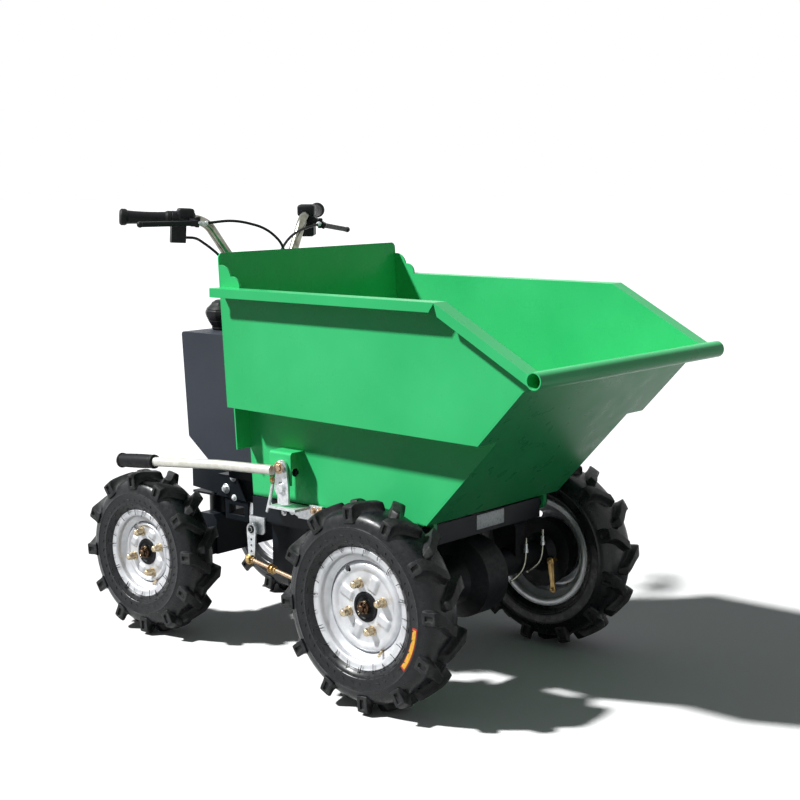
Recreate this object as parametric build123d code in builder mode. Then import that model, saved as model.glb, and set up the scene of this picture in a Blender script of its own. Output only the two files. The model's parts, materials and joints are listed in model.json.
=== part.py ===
"""Site dumper: a four-wheeled electric barrow with a forward-tipping skip and a steered rear axle.

Millimetres. +X is forward, the way the skip tips, +Y is left and +Z is up. The origin is on the
ground under the middle of the machine. Lengths along the machine are stations, measured forward
of the front axle, and station() turns them into points of the side view.
"""
import os
from math import cos, radians, sin, tan

from build123d import *

os.makedirs("parts", exist_ok=True)

# ---------------------------------------------------------------- wheels and axles
wheelbase = 863.0
front_tyre_radius = 242.0       # 4.00-10, over the lugs
rear_tyre_radius = 217.0        # 4.00-8, over the lugs
front_track_half = 345.0        # centre plane of the wheel
rear_track_half = 253.0
lug_count = 12                  # on each side of the tread
lug_phase = 5.0                 # degrees from forward to the shoulder end of a lug
lug_height = 19.0
lug_width = 20.0                # at the crown
lug_shoulder_width = 28.0
lug_sweep = 40.0                # how far the crown end leads the shoulder end
shoulder_drop = 44.0            # how far the lugs run down the side wall
pocket_width = 14.0             # pocket in the shoulder end of each lug
pocket_height = 28.0
pocket_depth = 5.0
rim_half_width = 42.0
rim_flange = 14.5               # flange height over the bead seat
rim_gauge = 4.0
well_depth = 17.0               # drop centre below the bead seat
disc_inset = 20.0               # disc face to the wheel's centre plane
disc_crest = 5.0                # height of the ring and of the ridges pressed into the disc
disc_bore_radius = 35.0
ridge_width = 20.0
vent_radius = 6.0
vent_phase = 121.0              # degrees from forward
stud_circle_radius = 55.0
stud_count = 4
stud_phase = 20.0               # degrees from forward to the first stud
stud_radius = 6.0
nut_radius = 10.0
nut_length = 25.0
stub_radius = 15.0
castle_nut_radius = 17.0
castle_nut_height = 9.0
hub_radius = 26.0
hub_flange_radius = 66.0
hub_flange_gauge = 8.0
drum_radius = 82.0
running_clearance = 0.1         # radial, pins and shafts in their bores
seat_gap = 0.3                  # pieces that rest on each other
axle_gap = 5.0                  # turning pieces beside fixed ones

# ---------------------------------------------------------------- skip
skip_wall = 4.0
skip_half = 322.0               # outside of the upper walls
skip_low_half = 254.0           # outside of the lower walls
apron_half = 301.0              # rear wall below the ledge
apron_z = 538.0
floor_z = 419.0                 # underside of the floor
floor_front = 85.0
front_slope = 46.8              # front plate, degrees from level
ledge_rear_z = 644.0
ledge_front_z = 632.0
rim_z = 935.0                   # top of the side walls
rim_front = 196.0               # where the side walls start to fall
rear_top = -505.0
rear_top_z = 1017.0
rear_slant = 3.5                # rear wall, degrees from upright
rear_corner_radius = 14.0
bend_z = 758.0                  # fold between front plate and spout
mouth = 460.0
mouth_z = 790.0
mouth_radius = 19.0
mouth_gauge = 3.0
mouth_half = 364.0
lip_out = 37.0
lip_down = 22.0
notch_depth = 10.0              # notch in the lip where it bends down to the mouth
ear_height = 53.0               # gusset above the side wall, behind
ear_length = 65.0

# ---------------------------------------------------------------- skip hinge and tipping lever
hinge = 60.0
hinge_z = 396.0
hinge_pin_radius = 10.0
hinge_lug_y = 206.0             # inner face of each lug
hinge_lug_gauge = 12.0
hinge_lug_radius = 17.0
hinge_collar = 5.0
bracket_front = -295.0
bracket_rear = -366.0
bracket_low_z = 470.0
bracket_high_z = 549.0
bracket_face_y = 300.0
bracket_bend_radius = 8.0
lever = -320.0
lever_z = 514.0
lever_tube_radius = 12.0
lever_plate_gauge = 6.0
lever_bolt_radius = 6.0
lever_nut_height = 8.0
latch_top_radius = 17.0
latch_boss_z = 463.5
latch_low_radius = 23.0
latch_foot_width = 36.0
catch_high_z = 418.0
catch_rear = -358.0
catch_front = -225.0
catch_gauge = 6.0

# ---------------------------------------------------------------- frame
rail_half = 200.0               # outside of the frame rails
rail_width = 50.0
rail_low_z = 340.0
rail_high_z = 399.0
rail_rear = -526.0
rail_pad = -400.0               # pads that the floor of the skip rests on
rail_pad_length = 70.0
cross_front = 70.0
cross_depth = 40.0
cross_low_z = 362.0
cross_high_z = 410.0
neck_half = 70.0
neck_rear = -905.0
neck_low_z = 340.0
hanger_rear = -775.0            # open frame that hangs from each side of the neck
hanger_front = -688.0
hanger_low_z = 285.0
hanger_bar = 14.0
neck_high_z = 415.0
plate_gauge = 6.0
deck_half = 130.0
deck_rear = -735.0
case_rear = -515.0              # controller case under the rails
case_front = -330.0
case_low_z = 192.0
case_half = 150.0
case_flange_gauge = 5.0

# ---------------------------------------------------------------- axles, motor and brake
axle_tube_radius = 34.0
axle_casing_radius = 96.0
axle_casing_half = 38.0
backing_plate_radius = 88.0
backing_plate_gauge = 5.0
axle_seat_y = 155.0             # inner face of the seats under the rails
axle_seat_width = 40.0
motor = -176.0
motor_radius = 78.0
motor_length = 170.0
motor_left = 60.0
crank = -523.0
crank_pivot_z = 317.0
crank_eye_z = 241.0
crank_gauge = 5.0
brake_cam = -80.0
brake_cam_z = 196.0
brake_cam_y = 266.0
brake_rod_radius = 5.0
beam_size = 66.0                # rear axle beam, square
beam_z = 208.0
beam_seat_half = 60.0
beam_seat_z = 284.0

# ---------------------------------------------------------------- steering
kingpin_radius = 15.0
kingpin_housing_radius = 30.0
column = -665.0
shaft_radius = 14.0
column_radius = 22.0
steer_arm = 60.0
steer_arm_z = 430.0
steer_arm_gauge = 8.0
steer_pin_radius = 5.0
link_z = 446.0
link_gauge = 10.0
link_eye_radius = 11.0

# ---------------------------------------------------------------- battery box
box_gauge = 3.0
box_high_z = 801.0
box_fold_z = 528.0
box_low_z = 473.0
box_top_rear = -786.0
box_fold_rear = -768.0
box_low_rear = -695.0
box_front = -530.0
box_bend_radius = 8.0
pack_gap = 10.0                 # batteries to the ends of the box
pod = -728.0
pod_y = -100.0
pod_foot_radius = 38.0
pod_radius = 52.0
pod_top_radius = 28.0
pod_height = 78.0

# ---------------------------------------------------------------- handlebar
bar_radius = 12.5
bar_foot = (-660.0, 14.0, box_high_z + 37)
bar_bend = (-708.0, 178.0, box_high_z + 287)
bar_end = (-823.0, 351.0, box_high_z + 298)
bar_bend_radius = 60.0
grip_radius = 17.0
grip_end_radius = 21.0
grip_length = 120.0
lever_perch = 172.0             # brake lever clamps, inboard of the bar's end
lever_perch_width = 18.0
lever_reach = 55.0              # from the bar to the blade's root
lever_droops = [(1, 8.0), (-1, 30.0)]    # hand, degrees that the lever hangs below level
cable_radius = 3.5
stem_width = 60.0
stem_height = 34.0

# The machine's length runs from the rear tyres to the mouth of the skip, with the origin half way.
front_axle_x = (wheelbase + rear_tyre_radius - mouth - mouth_radius) / 2
rear_axle_x = front_axle_x - wheelbase


def station(forward, height):
    """A point of the side view: its distance forward of the front axle, and its height."""
    return (front_axle_x + forward, height)


def point(place):
    """A point in space from its station, its distance left of the middle and its height."""
    return (front_axle_x + place[0], place[1], place[2])


def shifted(line, wall):
    """The line moved to its left by the wall, with mitred corners."""
    corners = [Vector(*corner) for corner in line]
    normals = [(b - a).normalized().rotate(Axis.Z, 90) for a, b in zip(corners, corners[1:])]
    inner = [(a + b) / (1 + a.dot(b)) for a, b in zip(normals, normals[1:])]
    mitres = [normals[0], *inner, normals[-1]]
    return [tuple(corner + mitre * wall)[:2] for corner, mitre in zip(corners, mitres)]


def sheet(line, wall):
    """The closed outline of a folded sheet to the left of the line, or right of it if negative."""
    outline = [*line, *reversed(shifted(line, wall))]
    return outline if wall > 0 else outline[::-1]


def both_sides(half):
    """The whole outline of a section from its half on the outboard side."""
    return [*half, *((-out, radius) for out, radius in reversed(half))]


def side_view(y):
    """The side view's plane at a distance right of the middle. It extrudes to the right."""
    return Plane.XZ.offset(y)


def save(piece, label):
    """Name a finished piece and write it."""
    piece.part.label = label
    export_step(piece.part, f"parts/{label}.step")


def save_pair(piece, ending):
    """Write a right-hand piece and its mirror image on the left."""
    with BuildPart() as left:
        mirror(piece.part, about=Plane.XZ)
    save(piece, f"right_{ending}")
    save(left, f"left_{ending}")


# ================================================================ wheels
def wheel_section(centre):
    """Plane of a wheel's section: its x runs out along the axle and its y is the radius."""
    return Plane(origin=centre, x_dir=(0, -1, 0), z_dir=(-1, 0, 0))


def wheel_face(centre, out=0.0):
    """Plane across a right-hand wheel, a distance outboard of its centre."""
    return Plane(origin=centre, x_dir=(1, 0, 0), z_dir=(0, -1, 0)).offset(out)


def axle_line(centre):
    return Axis(centre, (0, -1, 0))


def make_tyre(centre, tip_radius, seat_radius, half_width):
    """Farm-tread tyre: a round carcass, and swept lugs cut off at the crown and the shoulders."""
    crown_radius = tip_radius - lug_height
    bead_half = rim_half_width - rim_gauge
    root_radius = tip_radius - shoulder_drop - 2
    waist = half_width - 20
    spacing = 360 / lug_count
    with BuildPart() as tyre:
        for hand, phase in ((1, lug_phase), (-1, lug_phase + spacing / 2)):
            lug = [(-7, lug_sweep - lug_width / 2), (waist, -lug_width / 2),
                   (half_width + 1, -lug_shoulder_width / 2), (half_width + 1, lug_shoulder_width / 2),
                   (waist, lug_width / 2 + 4), (-7, lug_sweep + lug_width / 2)]
            outline = [(hand * out, along) for out, along in lug]
            for index in range(lug_count):
                angle = radians(phase + spacing * index)
                outwards = (cos(angle), 0, sin(angle))
                with BuildSketch(Plane(origin=centre, x_dir=(0, -1, 0), z_dir=outwards)
                                 .offset(root_radius)):
                    Polygon(*outline[::hand], align=None)
                extrude(amount=tip_radius + lug_height - root_radius)
        with BuildSketch(wheel_section(centre)):
            Polygon(*both_sides([(half_width, seat_radius), (half_width, tip_radius - shoulder_drop),
                                 (half_width - 2, tip_radius - 12), (half_width - 9, tip_radius - 3),
                                 (half_width / 3, tip_radius)]), align=None)
        revolve(axis=axle_line(centre), mode=Mode.INTERSECT)
        for hand, phase in ((1, lug_phase), (-1, lug_phase + spacing / 2)):
            with BuildSketch(wheel_face(centre, hand * half_width)):
                with PolarLocations(tip_radius - shoulder_drop + pocket_height / 2 + 2, lug_count,
                                    start_angle=phase):
                    Rectangle(pocket_height, pocket_width)
            extrude(amount=pocket_depth, both=True, mode=Mode.SUBTRACT)
        with BuildSketch(wheel_section(centre)):
            Polygon(*both_sides([(bead_half, seat_radius), (bead_half, seat_radius + rim_flange),
                                 (half_width - 5, crown_radius - 63), (half_width - 2, crown_radius - 43),
                                 (half_width - 5, crown_radius - 24), (half_width - 14, crown_radius - 9),
                                 (half_width - 32, crown_radius)]), align=None)
        revolve(axis=axle_line(centre))
    return tyre


def make_rim(centre, seat_radius, flat_radius):
    """Pressed steel wheel: drop-centre barrel, and a disc with a raised ring and radial ridges."""
    flange_radius = seat_radius + rim_flange
    well_radius = seat_radius - well_depth
    inside = rim_half_width - rim_gauge
    barrel = both_sides([(inside, flange_radius), (inside, seat_radius), (26, seat_radius),
                         (18, well_radius)])
    barrel_inside = well_radius - rim_gauge
    crest_radius = (barrel_inside + flat_radius) / 2
    disc = [(disc_inset - 10, barrel_inside + rim_gauge / 2), (disc_inset + disc_crest, crest_radius + 4),
            (disc_inset + disc_crest, crest_radius - 4), (disc_inset, flat_radius),
            (disc_inset, disc_bore_radius)]
    ridge_length = flat_radius - disc_bore_radius - 8
    with BuildPart() as rim:
        with BuildSketch(wheel_section(centre)):
            Polygon(*sheet(barrel, rim_gauge), align=None)
            Polygon(*sheet(disc, -rim_gauge), align=None)
        revolve(axis=axle_line(centre))
        with BuildSketch(wheel_face(centre, disc_inset)):
            with PolarLocations((flat_radius + disc_bore_radius) / 2, stud_count,
                                start_angle=stud_phase + 180 / stud_count):
                SlotOverall(ridge_length, ridge_width)
        extrude(amount=disc_crest - 1, taper=30)
        with BuildSketch(wheel_face(centre, disc_inset - 3 * rim_gauge)):
            with PolarLocations(stud_circle_radius, stud_count, start_angle=stud_phase):
                Circle(stud_radius + seat_gap)
            with PolarLocations(barrel_inside - vent_radius - 2, 1, start_angle=vent_phase):
                Circle(vent_radius)
        extrude(amount=5 * rim_gauge, mode=Mode.SUBTRACT)
    return rim


def make_hub(centre, inner_reach, drum):
    """Hub behind the disc, with its spigot, long wheel nuts, castle nut and, in front, a drum."""
    disc_back = disc_inset - rim_gauge
    spigot_face = disc_inset + 2
    nut_flat = nut_length * 0.7
    with BuildPart() as hub:
        with BuildSketch(wheel_section(centre)):
            Polygon((disc_back, 0), (disc_back, hub_flange_radius),
                    (disc_back - hub_flange_gauge, hub_flange_radius), (disc_back - hub_flange_gauge, 40),
                    (disc_back - 12, hub_radius + 12), (-inner_reach, hub_radius + 12), (-inner_reach, 0),
                    align=None)
        revolve(axis=axle_line(centre))
        with BuildSketch(wheel_face(centre, disc_back)):
            Circle(disc_bore_radius - seat_gap)
        extrude(amount=spigot_face - disc_back)
        if drum:
            with BuildSketch(wheel_face(centre, -inner_reach)):
                Circle(drum_radius)
            extrude(amount=disc_back - hub_flange_gauge + inner_reach)
        studs = PolarLocations(stud_circle_radius, stud_count, start_angle=stud_phase)
        with BuildSketch(wheel_face(centre, disc_back)):
            with studs:
                Circle(stud_radius)
        extrude(amount=rim_gauge)
        with BuildSketch(wheel_face(centre, disc_inset)):
            with studs:
                RegularPolygon(nut_radius, 6)
        extrude(amount=nut_flat)
        with BuildSketch(wheel_face(centre, disc_inset + nut_flat)):
            with studs:
                RegularPolygon(nut_radius, 6)
        extrude(amount=nut_length - nut_flat, taper=30)
        with BuildSketch(wheel_face(centre, spigot_face)):
            RegularPolygon(castle_nut_radius, 6)
        extrude(amount=castle_nut_height)
        with BuildSketch(wheel_face(centre, spigot_face + castle_nut_height)):
            Circle(castle_nut_radius - 4)
            with PolarLocations(0, 3, start_angle=30, angular_range=180):
                Rectangle(2 * castle_nut_radius, 4, mode=Mode.SUBTRACT)
        extrude(amount=5)
        with BuildSketch(wheel_face(centre, -inner_reach)):
            Circle(stub_radius + running_clearance)
        extrude(amount=inner_reach + disc_inset, mode=Mode.SUBTRACT)
    return hub


front_hub_reach = 34.0
rear_hub_reach = 50.0
# name, axle x, track half, tip radius, bead seat radius, disc flat, tyre half width, hub reach, drum
wheel_table = [
    ("front", front_axle_x, front_track_half, front_tyre_radius, 127.0, 82.0, 57.5, front_hub_reach, True),
    ("rear", rear_axle_x, rear_track_half, rear_tyre_radius, 101.6, 67.0, 55.0, rear_hub_reach, False),
]
for name, axle_x, track_half, tip_radius, seat_radius, flat_radius, half_width, reach, drum in wheel_table:
    centre = (axle_x, -track_half, tip_radius)
    save_pair(make_tyre(centre, tip_radius, seat_radius, half_width), f"{name}_tyre")
    save_pair(make_rim(centre, seat_radius, flat_radius), f"{name}_rim")
    save_pair(make_hub(centre, reach, drum), f"{name}_hub")


# ================================================================ skip
def rear_at(z):
    """Station of the rear wall's inner face at a height."""
    return rear_top + (rear_top_z - z) * tan(radians(rear_slant))


def front_at(z, inside=0.0):
    """Station of the front plate's outer face at a height, or of a face inside it."""
    slope = radians(front_slope)
    return floor_front + (z - floor_z) / tan(slope) - inside / sin(slope)


bend = front_at(bend_z)
plate_line = [station(floor_front, floor_z), station(bend, bend_z), station(mouth, mouth_z)]
plate_inside = shifted(plate_line, skip_wall)
rail_line = [station(rear_at(rim_z), rim_z), station(rim_front, rim_z), plate_inside[2]]


# What the mouth tube and its seat take out of the sheets that meet it.
with BuildPart() as mouth_seat:
    with BuildSketch(side_view(0)):
        with Locations(station(mouth, mouth_z)):
            Circle(mouth_radius + seat_gap)
    extrude(amount=mouth_half + lip_out, both=True)


# Side wall: upper wall, ledge, lower wall, folded lip and the ear that braces the rear wall.
with BuildPart() as skip_side:
    with BuildSketch(side_view(skip_half - skip_wall)):
        Polygon(station(rear_at(ledge_rear_z), ledge_rear_z),
                station(front_at(ledge_front_z, skip_wall), ledge_front_z),
                plate_inside[1], *reversed(rail_line), align=None)
        with BuildLine():
            ear_foot = station(rear_at(rim_z), rim_z)
            ear_top = station(rear_at(rim_z + ear_height), rim_z + ear_height)
            ear_step = (ear_foot[0] + ear_length * 0.55, rim_z + ear_height * 0.5)
            Line(ear_foot, ear_top)
            ThreePointArc(ear_top, (ear_top[0] + ear_length * 0.42, ear_top[1] - ear_height * 0.14),
                          ear_step)
            ThreePointArc(ear_step, (ear_foot[0] + ear_length * 0.92, rim_z + ear_height * 0.34),
                          (ear_foot[0] + ear_length, rim_z))
            Line((ear_foot[0] + ear_length, rim_z), ear_foot)
        make_face()
    extrude(amount=skip_wall)
    with BuildSketch(side_view(skip_low_half - skip_wall)):
        Polygon(station(rear_at(ledge_rear_z), ledge_rear_z),
                station(front_at(ledge_front_z, skip_wall), ledge_front_z),
                station(front_at(ledge_front_z + skip_wall, skip_wall), ledge_front_z + skip_wall),
                station(rear_at(ledge_rear_z + skip_wall), ledge_rear_z + skip_wall), align=None)
    extrude(amount=skip_half - skip_low_half)
    with BuildSketch(side_view(skip_low_half - skip_wall)):
        Polygon(station(rear_at(floor_z), floor_z), station(front_at(floor_z, skip_wall), floor_z),
                station(front_at(ledge_front_z, skip_wall), ledge_front_z),
                station(rear_at(ledge_rear_z), ledge_rear_z), align=None)
    extrude(amount=skip_wall)
    with BuildSketch(side_view(skip_half)):
        Polygon(*sheet(rail_line, -skip_wall), align=None)
    extrude(amount=lip_out)
    with BuildSketch(side_view(skip_half + lip_out - skip_wall)):
        Polygon(*sheet(rail_line, -lip_down), align=None)
    extrude(amount=skip_wall)
    with BuildSketch(side_view(skip_half + lip_out - notch_depth)):
        Polygon(station(rim_front, rim_z - 2), station(rim_front - 15, rim_z - lip_down - 1),
                station(rim_front + 9, rim_z - lip_down - 8), align=None)
    extrude(amount=notch_depth, mode=Mode.SUBTRACT)
    add(mouth_seat.part, mode=Mode.SUBTRACT)
save_pair(skip_side, "skip_side")

# Floor with the two hinge lugs welded under its front edge.
with BuildPart() as skip_floor:
    with BuildSketch(side_view(0)):
        Polygon(station(rear_at(floor_z), floor_z), station(front_at(floor_z, skip_wall), floor_z),
                station(front_at(floor_z + skip_wall, skip_wall), floor_z + skip_wall),
                station(rear_at(floor_z + skip_wall), floor_z + skip_wall), align=None)
    extrude(amount=skip_low_half - skip_wall, both=True)
    for lug_face in (hinge_lug_y, -hinge_lug_y - hinge_lug_gauge):
        with BuildSketch(side_view(lug_face)):
            with BuildLine():
                foot_rear = station(hinge - 42, floor_z)
                foot_front = station(floor_front - 8, floor_z)
                rear_tangent = station(hinge - hinge_lug_radius, hinge_z)
                front_tangent = station(hinge + hinge_lug_radius, hinge_z)
                Polyline(rear_tangent, foot_rear, foot_front, front_tangent)
                ThreePointArc(front_tangent, station(hinge, hinge_z - hinge_lug_radius), rear_tangent)
            make_face()
            with Locations(station(hinge, hinge_z)):
                Circle(hinge_pin_radius + running_clearance, mode=Mode.SUBTRACT)
        extrude(amount=hinge_lug_gauge)
save(skip_floor, "skip_floor")

# Front plate, narrow between the lower walls and wide above the ledge, folded to a spout.
with BuildPart() as skip_front:
    with BuildSketch(side_view(0)):
        Polygon(*sheet(plate_line, skip_wall), align=None)
    extrude(amount=skip_half, both=True)
    for hand in (1, -1):
        with BuildSketch(Plane.XY.offset(floor_z - skip_wall)):
            with Locations((front_axle_x + floor_front, hand * (skip_low_half + skip_half) / 2)):
                Rectangle(2 * wheelbase, skip_half - skip_low_half)
        extrude(amount=ledge_front_z - floor_z + skip_wall, mode=Mode.SUBTRACT)
    add(mouth_seat.part, mode=Mode.SUBTRACT)
save(skip_front, "skip_front_plate")

# Rear wall, one leaning sheet with an apron below the ledge and rounded top corners.
lean = radians(rear_slant)
rear_plane = Plane(origin=point((rear_at(floor_z), 0, floor_z)), x_dir=(0, 1, 0),
                   z_dir=(cos(lean), 0, sin(lean)))
wall_height = (rear_top_z - floor_z) / cos(lean)
ledge_height = (ledge_rear_z - floor_z) / cos(lean)
apron_height = (apron_z - floor_z) / cos(lean)
with BuildPart() as skip_rear:
    with BuildSketch(rear_plane) as rear_outline:
        with Locations((0, wall_height / 2)):
            Rectangle(2 * skip_low_half, wall_height)
        with Locations((0, (apron_height + wall_height) / 2)):
            Rectangle(2 * apron_half, wall_height - apron_height)
        with Locations((0, (ledge_height + wall_height) / 2)):
            Rectangle(2 * skip_half, wall_height - ledge_height)
        fillet(rear_outline.vertices().group_by(Axis.Y)[-1], rear_corner_radius)
    extrude(amount=-skip_wall)
save(skip_rear, "skip_rear_wall")

with BuildPart() as mouth_tube:
    with BuildSketch(side_view(0)):
        with Locations(station(mouth, mouth_z)):
            Circle(mouth_radius)
            Circle(mouth_radius - mouth_gauge, mode=Mode.SUBTRACT)
    extrude(amount=mouth_half, both=True)
save(mouth_tube, "mouth_tube")

# Folded plate on the lower right wall that carries the tipping lever, open in front and below.
with BuildPart() as lever_bracket:
    with BuildSketch(Plane.YZ.offset(front_axle_x + bracket_rear)) as folded:
        Polygon(*sheet([(-skip_low_half, bracket_high_z), (-bracket_face_y, bracket_high_z),
                        (-bracket_face_y, bracket_low_z)], skip_wall), align=None)
        for inset, radius in ((0, bracket_bend_radius), (skip_wall, bracket_bend_radius - skip_wall)):
            corner = (inset - bracket_face_y, bracket_high_z - inset)
            fillet(folded.vertices().sort_by_distance(corner)[0], radius)
    extrude(amount=bracket_front - bracket_rear)
    with BuildSketch(side_view(skip_low_half)):
        with Locations(station(lever, lever_z)):
            Circle(lever_bolt_radius + running_clearance)
    extrude(amount=2 * skip_half, mode=Mode.SUBTRACT)
save(lever_bracket, "lever_bracket")

# ================================================================ tipping lever
lever_plate_y = bracket_face_y + 2
lever_line_y = lever_plate_y + lever_plate_gauge + seat_gap + lever_tube_radius
lever_route = [(lever - 16, -lever_line_y, lever_z - 7), (-520.0, -lever_line_y, 498.0),
               (-764.0, -lever_line_y, 477.0)]
with BuildPart() as lever_tube:
    with BuildLine() as lever_path:
        FilletPolyline(*[point(place) for place in lever_route], radius=200)
    with BuildSketch(lever_path.line ^ 0):
        Circle(lever_tube_radius)
    sweep()
save(lever_tube, "lever_tube")

grip_start = Vector(*point(lever_route[2]))
lever_way = (grip_start - Vector(*point(lever_route[1]))).normalized()
with BuildPart() as lever_grip:
    with BuildSketch(Plane(origin=grip_start + lever_way * seat_gap, z_dir=lever_way)):
        Circle(lever_tube_radius + 3)
    extrude(amount=136)
    fillet(lever_grip.edges().group_by(Axis.X)[0], 5)
save(lever_grip, "lever_grip")

# Latch plate behind the lever: pivot bolt above, domed boss, and a foot rounded about the pivot.
latch_reach = lever_z - catch_high_z - axle_gap
with BuildPart() as latch_plate:
    with BuildSketch(side_view(lever_plate_y)):
        with Locations(station(lever, lever_z)):
            Circle(latch_top_radius)
        with Locations(station(lever, latch_boss_z)):
            Circle(latch_low_radius)
        make_hull()
        with Locations(station(lever + 5, latch_boss_z - latch_reach / 2)):
            Rectangle(latch_foot_width, latch_reach)
        with Locations(station(lever, lever_z)):
            Circle(latch_reach, mode=Mode.INTERSECT)
    extrude(amount=lever_plate_gauge)
    with BuildSketch(side_view(lever_plate_y + lever_plate_gauge)):
        with Locations(station(lever, latch_boss_z)):
            Circle(15)
    extrude(amount=6, taper=40)
    nut_y = bracket_face_y - skip_wall - seat_gap - lever_nut_height
    bolt_end_y = lever_plate_y + lever_plate_gauge
    with BuildSketch(side_view(nut_y)):
        with Locations(station(lever, lever_z)):
            Circle(lever_bolt_radius)
    extrude(amount=bolt_end_y - nut_y)
    for face in (nut_y, bolt_end_y):
        with BuildSketch(side_view(face)):
            with Locations(station(lever, lever_z)):
                RegularPolygon(2 * lever_bolt_radius, 6)
        extrude(amount=lever_nut_height)
save(latch_plate, "latch_plate")

# ================================================================ frame
for hand, side_name in ((1, "right"), (-1, "left")):
    with BuildPart() as rail:
        with BuildSketch(Plane.YZ.offset(front_axle_x + rail_rear)):
            with Locations((-hand * (rail_half - rail_width / 2), (rail_low_z + rail_high_z) / 2)):
                Rectangle(rail_width, rail_high_z - rail_low_z)
        extrude(amount=cross_front - cross_depth - rail_rear)
        with BuildSketch(Plane.XY.offset(rail_high_z)):
            with Locations((front_axle_x + rail_pad, -hand * (rail_half - rail_width / 2))):
                Rectangle(rail_pad_length, rail_width - 10)
        extrude(amount=floor_z - seat_gap - rail_high_z)
    save(rail, f"{side_name}_frame_rail")

with BuildPart() as cross_member:
    with BuildSketch(side_view(0)):
        Polygon(station(cross_front - cross_depth, cross_low_z), station(cross_front, cross_low_z),
                station(cross_front, cross_high_z), station(cross_front - cross_depth, cross_high_z),
                align=None)
    extrude(amount=rail_half, both=True)
    with BuildSketch(side_view(0)):
        with Locations(station(hinge, hinge_z)):
            Circle(hinge_pin_radius)
    collar_y = hinge_lug_y + hinge_lug_gauge + 3
    extrude(amount=collar_y + hinge_collar + 2, both=True)
    for face in (collar_y, -collar_y - hinge_collar):
        with BuildSketch(side_view(face)):
            with Locations(station(hinge, hinge_z)):
                Circle(hinge_pin_radius + 4)
        extrude(amount=hinge_collar)
save(cross_member, "front_cross_member")

# Rear frame: narrow neck over the steered axle, kingpin housing, deck and battery-box cradle.
neck_front = rail_rear - plate_gauge
deck_high_z = neck_high_z + plate_gauge
with BuildPart() as neck:
    for face in (neck_half - plate_gauge, -neck_half):
        with BuildSketch(side_view(face)):
            Polygon(station(neck_rear, neck_low_z + 17), station(deck_rear + 35, neck_low_z),
                    station(neck_front, neck_low_z), station(neck_front, neck_high_z),
                    station(neck_rear, neck_high_z), align=None)
            with Locations(station((hanger_rear + hanger_front) / 2, (hanger_low_z + neck_low_z) / 2)):
                Rectangle(hanger_front - hanger_rear, neck_low_z - hanger_low_z)
                Rectangle(hanger_front - hanger_rear - 2 * hanger_bar,
                          neck_low_z - hanger_low_z - 2 * hanger_bar, mode=Mode.SUBTRACT)
        extrude(amount=plate_gauge)
    for face in (neck_half, -neck_half - plate_gauge):
        with BuildSketch(side_view(face)):
            Polygon(station(hanger_rear - 30, neck_low_z + 6), station(hanger_front, neck_low_z + 2),
                    station(hanger_front - 36, neck_high_z - 6), align=None)
        extrude(amount=plate_gauge)
    with BuildSketch(Plane.XY.offset(neck_high_z)):
        with Locations((front_axle_x + (neck_rear + rail_rear) / 2, 0)):
            Rectangle(rail_rear - neck_rear, 2 * neck_half)
        with Locations((front_axle_x + (deck_rear + rail_rear) / 2, 0)):
            Rectangle(rail_rear - deck_rear, 2 * deck_half)
    extrude(amount=plate_gauge)
    with BuildSketch(Plane.XY.offset(neck_low_z)):
        with Locations((rear_axle_x, 0)):
            Rectangle(2 * (rear_axle_x - front_axle_x - neck_rear), 2 * neck_half)
    extrude(amount=plate_gauge)
    with BuildSketch(Plane.XY.offset(neck_low_z)):
        with Locations((rear_axle_x, 0)):
            Circle(kingpin_housing_radius)
    extrude(amount=neck_high_z - neck_low_z)
    with BuildSketch(Plane.YZ.offset(front_axle_x + neck_front)):
        with Locations((0, (rail_low_z + rail_high_z) / 2)):
            Rectangle(2 * rail_half, rail_high_z - rail_low_z)
        with Locations((0, (rail_low_z + neck_high_z) / 2)):
            Rectangle(2 * deck_half, neck_high_z - rail_low_z)
    extrude(amount=plate_gauge)
    for face in (deck_half - plate_gauge, -deck_half):
        with BuildSketch(side_view(face)):
            Polygon(station(box_low_rear, deck_high_z), station(box_front - pack_gap, deck_high_z),
                    station(box_front - pack_gap, box_low_z), station(box_low_rear, box_low_z),
                    align=None)
        extrude(amount=plate_gauge)
    with BuildSketch(Plane.XY.offset(neck_low_z)):
        with Locations((rear_axle_x, 0)):
            Circle(kingpin_radius + running_clearance)
        with Locations((front_axle_x + column, 0)):
            Circle(shaft_radius + running_clearance)
    extrude(amount=deck_high_z - neck_low_z, mode=Mode.SUBTRACT)
save(neck, "rear_frame")

# Controller case with its lower edges chamfered, hung from a flange between the rails.
with BuildPart() as controller_case:
    with BuildSketch(side_view(0)) as case_outline:
        Polygon(station(case_rear, case_low_z), station(case_front, case_low_z),
                station(case_front, rail_low_z), station(case_rear, rail_low_z), align=None)
        chamfer(case_outline.vertices().group_by(Axis.Y)[0], 14)
    extrude(amount=case_half, both=True)
    with BuildSketch(Plane.XY.offset(rail_low_z - case_flange_gauge)):
        with Locations((front_axle_x + (case_rear + case_front) / 2, 0)):
            Rectangle(case_front - case_rear - 35, 2 * rail_half - 10)
    extrude(amount=case_flange_gauge)
save(controller_case, "controller_case")

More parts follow.
